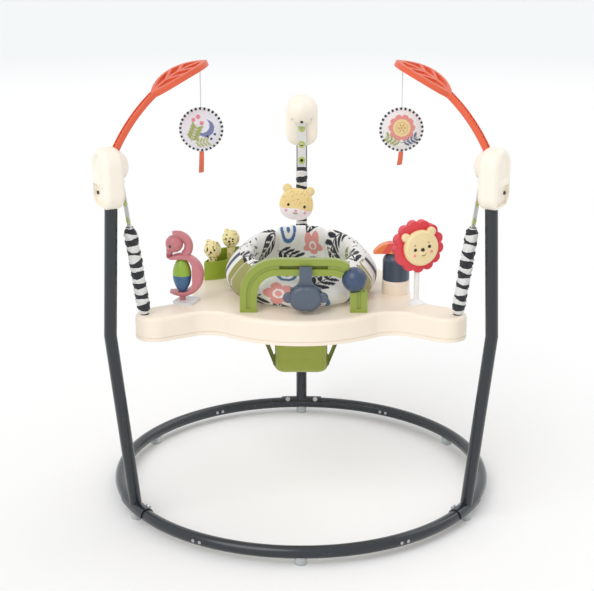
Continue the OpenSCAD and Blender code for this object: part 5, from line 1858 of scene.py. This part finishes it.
    def columns(self) -> tuple[np.ndarray, np.ndarray, list[tuple[int, int]]]:
        """Lays out the sling's columns round the seat, from the front's left edge.

        Returns:
            The columns' feet on the bottom outline, their heads on the hem, and each leg opening's edges.
        """
        hem = self.hem_r - self.inset
        x = np.linspace(-self.panel_w / 2, self.panel_w / 2, self.panel_cols)
        y = np.linspace(-self.side_w / 2, self.side_w / 2, self.side_cols)
        depth = self.outline(x) - self.inset
        wide = np.full_like(y, self.bag_w / 2 - self.inset)
        front = np.stack([x, -depth], 1), np.stack([x, -np.sqrt(hem**2 - x**2)], 1)
        right = np.stack([wide, y], 1), np.stack([np.sqrt(hem**2 - y**2), y], 1)
        runs = [front, right, (-front[0], -front[1]), (-right[0], -right[1])]
        feet, heads, holes, count = [], [], [], 0
        share = np.linspace(0.0, 1.0, self.gap_cols + 2)[1:-1, None]
        for run, after in zip(runs, runs[1:] + runs[:1]):
            chord = run[1][-1] * (1 - share) + after[1][0] * share
            feet += [run[0], run[0][-1] * (1 - share) + after[0][0] * share]
            heads += [run[1], hem * unit(chord)]
            count += len(run[0])
            holes.append((count - 1, count + self.gap_cols))
            count += self.gap_cols
        return np.concatenate(feet), np.concatenate(heads), holes

    def shell(self, feet: np.ndarray, heads: np.ndarray) -> tuple[np.ndarray, int, int]:
        """Lofts the sling from the sagging middle of its bottom, over a soft edge, up its walls to the hem.

        Args:
            feet: the columns' places on the bottom outline.
            heads: the columns' places on the hem.

        Returns:
            Rows by columns by three, and the rows at the low and high ends of the leg openings.
        """
        hem_low = self.low_z - self.hem_h
        floor_z = self.bottom_z + self.inset
        edge_z = floor_z + self.sag
        wall_z = edge_z + self.soft_r
        rows = []

        def wall(z: float) -> np.ndarray:
            """Places of the columns at a height on the wall."""
            t = min((z - self.bottom_z) / (hem_low - self.bottom_z), 1.0)
            return feet * (1 - t) + heads * t

        def lay(spread: np.ndarray, inward: Union[np.ndarray, float], z: Union[np.ndarray, float]) -> None:
            """Adds a row at a height, with its columns pulled inwards."""
            short = 1 - inward / np.linalg.norm(spread, axis=1)
            rows.append(np.column_stack([spread * short[:, None], np.full(len(feet), z)]))

        foot = wall(edge_z)
        pulled = foot * (1 - self.soft_r / np.linalg.norm(foot, axis=1, keepdims=True))
        for q in np.linspace(0.05, 1.0, 10):
            ripple = 0.5 * np.sin(feet[:, 0] / 9.0) * np.sin(feet[:, 1] / 7.0) * q * (1 - q)
            lay(pulled * q, 0.0, floor_z + self.sag * q * q + ripple)
        for lift in np.radians([18.0, 36.0, 54.0, 72.0, 90.0]):
            z = edge_z + self.soft_r * (1 - math.cos(lift))
            lay(wall(z), self.soft_r * (1 - math.sin(lift)), z)
        low_row = len(rows) - 1
        across = feet[:, 0] / (self.panel_w / 2)
        ahead = np.abs(feet[:, 1]) > self.side_w / 2
        for t in np.linspace(0.0, 1.0, 35)[1:]:
            z = wall_z + (hem_low - wall_z) * t
            slack = math.sin(math.pi * t)
            hollow = 2.4 * slack * np.clip(1 - across**2, 0.0, 1.0) * ahead
            pull = np.sin(5.0 * across + 4.0 * t) + 0.7 * np.sin(11.0 * across - 6.0 * t)
            crease = 0.55 * pull * slack**2
            fold = 1.5 * math.exp(-(((t - 0.16) / 0.05) ** 2)) * ahead
            lay(wall(z), hollow + crease + fold, z)
        high_row = len(rows) - 1
        for z in np.linspace(hem_low, self.low_z - 0.4, 6)[1:]:
            lay(heads, 0.0, z)
        return np.array(rows), low_row, high_row

    def sling(self) -> None:
        """A hanging seat of olive cloth, one lofted shell with leg openings, bound and stitched."""
        feet, heads, holes = self.columns()
        points, low_row, high_row = self.shell(feet, heads)
        rows, cols = points.shape[:2]
        length = float(np.linalg.norm(np.diff(points[:, self.panel_cols // 2], axis=0), axis=1).sum())
        flat = (TAU * self.hem_r * MM, length * MM)
        gone = np.zeros((rows - 1, cols), bool)
        for first, last in holes:
            gone[low_row:high_row, first:last] = True
        faces, uvs = without(*loft(points, Wrap.COLUMNS, flat), gone)
        centre = rows * cols
        verts = np.concatenate([points.reshape(-1, 3), points[0].mean(axis=0)[None]])
        for col in range(cols):
            faces.append([centre, (col + 1) % cols, col])
            uvs += [(0.0, 0.0), (flat[0] * (col + 1) / cols, 0.0), (flat[0] * col / cols, 0.0)]
        piece = make("sling_flat", self.b.layout.at(verts), faces, self.b.palette.get("olive"), uvs)
        thicken(piece, self.cloth_t)
        rim = piece.modifiers.new("rim", "BEVEL")
        rim.width = self.rim_w * MM
        rim.segments = 2
        piece = baked(piece, "hanging_sling")
        self.b.ride(piece, "seat", "olive", "seat_bag")
        for number, (first, last) in enumerate(holes):
            self.trim(number, points, (low_row, high_row), (first, last % cols))
        hem = points[high_row + 1] * np.array([1.004, 1.004, 1.0]) + np.array([0.0, 0.0, 1.0])
        self.seam("sling_hem_stitch", np.concatenate([hem, hem[:1]]), 1.15)

    def seam(self, name: str, path: np.ndarray, proud: float) -> None:
        """A stitch row that stands on the sling's outer face.

        Args:
            name: the row's name.
            path: points on the cloth's middle, in millimetres.
            proud: how far outside it the thread lies.
        """
        away = unit(path * np.array([1.0, 1.0, 0.0]))
        row = NodeTools.stitches(name, self.b.layout.at(path + proud * away), self.b.palette.get("thread"))
        self.b.ride(row, "seat", "olive")

    def trim(self, number: int, points: np.ndarray, rows: tuple[int, int], cols: tuple[int, int]) -> None:
        """Binds one leg opening all round and stitches the cloth beside it.

        Args:
            number: the opening's number.
            points: the sling's rows and columns of points.
            rows: the opening's low and high rows.
            cols: the opening's first and last columns.
        """
        low, high = rows
        first, last = cols
        across = [(first + k) % points.shape[1] for k in range(self.gap_cols + 2)]
        climb = points[low:high, first]
        over = points[high, across]
        down = points[high - 1 : low : -1, last]
        under = points[low, across[:0:-1]]
        rings = tube(np.concatenate([climb, over, down, under]), self.binding_r, 10, closed=True)
        place = self.b.layout.at(rings)
        bound = self.b.skin(f"leg_binding_{number}", place, "binding", Wrap.BOTH, (0.012, 0.42))
        self.b.ride(bound, "seat", "olive")
        for mark, edge, step in (("a", first, -1), ("b", last, 1)):
            inner = (edge + step) % points.shape[1]
            beside = 1.6 * points[low + 1 : high, inner] - 0.6 * points[low + 1 : high, edge]
            self.seam(f"leg_stitch_{number}{mark}", beside, 1.35)


@dataclass
class Studio:
    """Pale floor, soft lights and the photograph's camera."""

    layout: Layout
    camera_back: float = 2805.0
    camera_up: float = 1289.0
    camera_side: float = 5.7
    pitch_deg: float = 17.19
    yaw_deg: float = 0.30
    lens_mm: float = 84.18
    sensor_mm: float = 36.0
    floor_reach_m: float = 40.0
    fade_from_m: float = 5.2
    fade_to_m: float = 7.6
    glow: float = 0.74

    def build(self) -> None:
        """Builds the studio."""
        bpy.context.scene.view_settings.view_transform = "Standard"
        self.camera()
        self.floor()
        self.world()
        self.lamp("key_soft", (-0.55, -0.75, 1.0), 0.75, 1.0)
        self.lamp("rim_soft", (0.7, 0.5, 0.9), 0.6, 0.35)

    def camera(self) -> None:
        """Sets the camera at the photograph's viewing angle."""
        lens = bpy.data.cameras.new("photo_camera")
        lens.lens = self.lens_mm
        lens.sensor_width = self.sensor_mm
        eye = bpy.data.objects.new("photo_camera", lens)
        eye.location = Vector(self.layout.at([self.camera_side, -self.camera_back, self.camera_up]))
        eye.rotation_euler = (math.radians(90.0 - self.pitch_deg), 0.0, math.radians(self.yaw_deg))
        bpy.context.scene.collection.objects.link(eye)
        bpy.context.scene.camera = eye

    def floor(self) -> None:
        """A wide pale floor that keeps the shadow, with painted shade that greys it a little in the
        distance.
        """
        made = Surface("pale_studio_floor")
        away = add(made.tree, "ShaderNodeVectorMath", {0: made.place}, operation="LENGTH")
        fade = {"Value": away.outputs["Value"], "From Min": self.fade_from_m, "From Max": self.fade_to_m}
        far = add(made.tree, "ShaderNodeMapRange", fade, interpolation_type="SMOOTHSTEP")
        # Painted shade: the far floor is painted a little greyer and cooler.
        tone = made.mix(far.outputs[0], to_linear("#fbfbfb"), to_linear("#eff2f3"))
        corners = np.array([[-1, -1, 0], [1, -1, 0], [1, 1, 0], [-1, 1, 0]]) * self.floor_reach_m
        ground = make("studio_floor", corners, [(0, 1, 2, 3)], made.finish(tone, 0.7))

    def world(self) -> None:
        """An even pale surround, which the camera and shiny faces see as a pale wall."""
        sky = bpy.data.worlds.new("pale_surround")
        sky.use_nodes = True
        tree = sky.node_tree
        tree.nodes.clear()
        ray = add(tree, "ShaderNodeLightPath").outputs
        direct = ray["Is Camera Ray"]
        for kind in ("Is Glossy Ray", "Is Transmission Ray"):
            direct = add(tree, "ShaderNodeMath", {0: direct, 1: ray[kind]}, operation="MAXIMUM").outputs[0]
        even = add(tree, "ShaderNodeBackground", {"Color": (1.0, 1.0, 1.0, 1.0), "Strength": self.glow})
        wall = add(tree, "ShaderNodeBackground", {"Color": to_linear("#f3f5f6"), "Strength": 1.0})
        seen = add(tree, "ShaderNodeMixShader", {0: direct, 1: even.outputs[0], 2: wall.outputs[0]})
        add(tree, "ShaderNodeOutputWorld", {"Surface": seen.outputs[0]})
        bpy.context.scene.world = sky

    @staticmethod
    def lamp(name: str, source: Triple, spread: float, strength: float) -> None:
        """A broad soft lamp that shines from one direction.

        Args:
            name: the lamp's name.
            source: the direction it shines from.
            spread: its apparent width in radians.
            strength: its irradiance in watts per square metre.
        """
        light = bpy.data.lights.new(name, "SUN")
        light.angle = spread
        light.energy = strength
        lamp = bpy.data.objects.new(name, light)
        lamp.rotation_euler = (-Vector(source)).to_track_quat("-Z", "Y").to_euler()
        bpy.context.scene.collection.objects.link(lamp)


def main() -> None:
    """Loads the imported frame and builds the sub-assemblies in order."""
    logging.basicConfig(level=logging.INFO, format="%(name)s: %(message)s")
    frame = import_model()
    low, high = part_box("seat_ring")
    layout = Layout((low.x + high.x) / 2, (low.y + high.y) / 2)
    builder = Builder(frame, layout, Palette())
    Studio(layout).build()
    HangingToys(builder).build()
    FloorFrame(builder).build()
    Suspension(builder).build()
    TrayToys(builder).build()
    Seat(builder).build()
    LOG.info("boxes written")


if __name__ == "__main__":
    main()
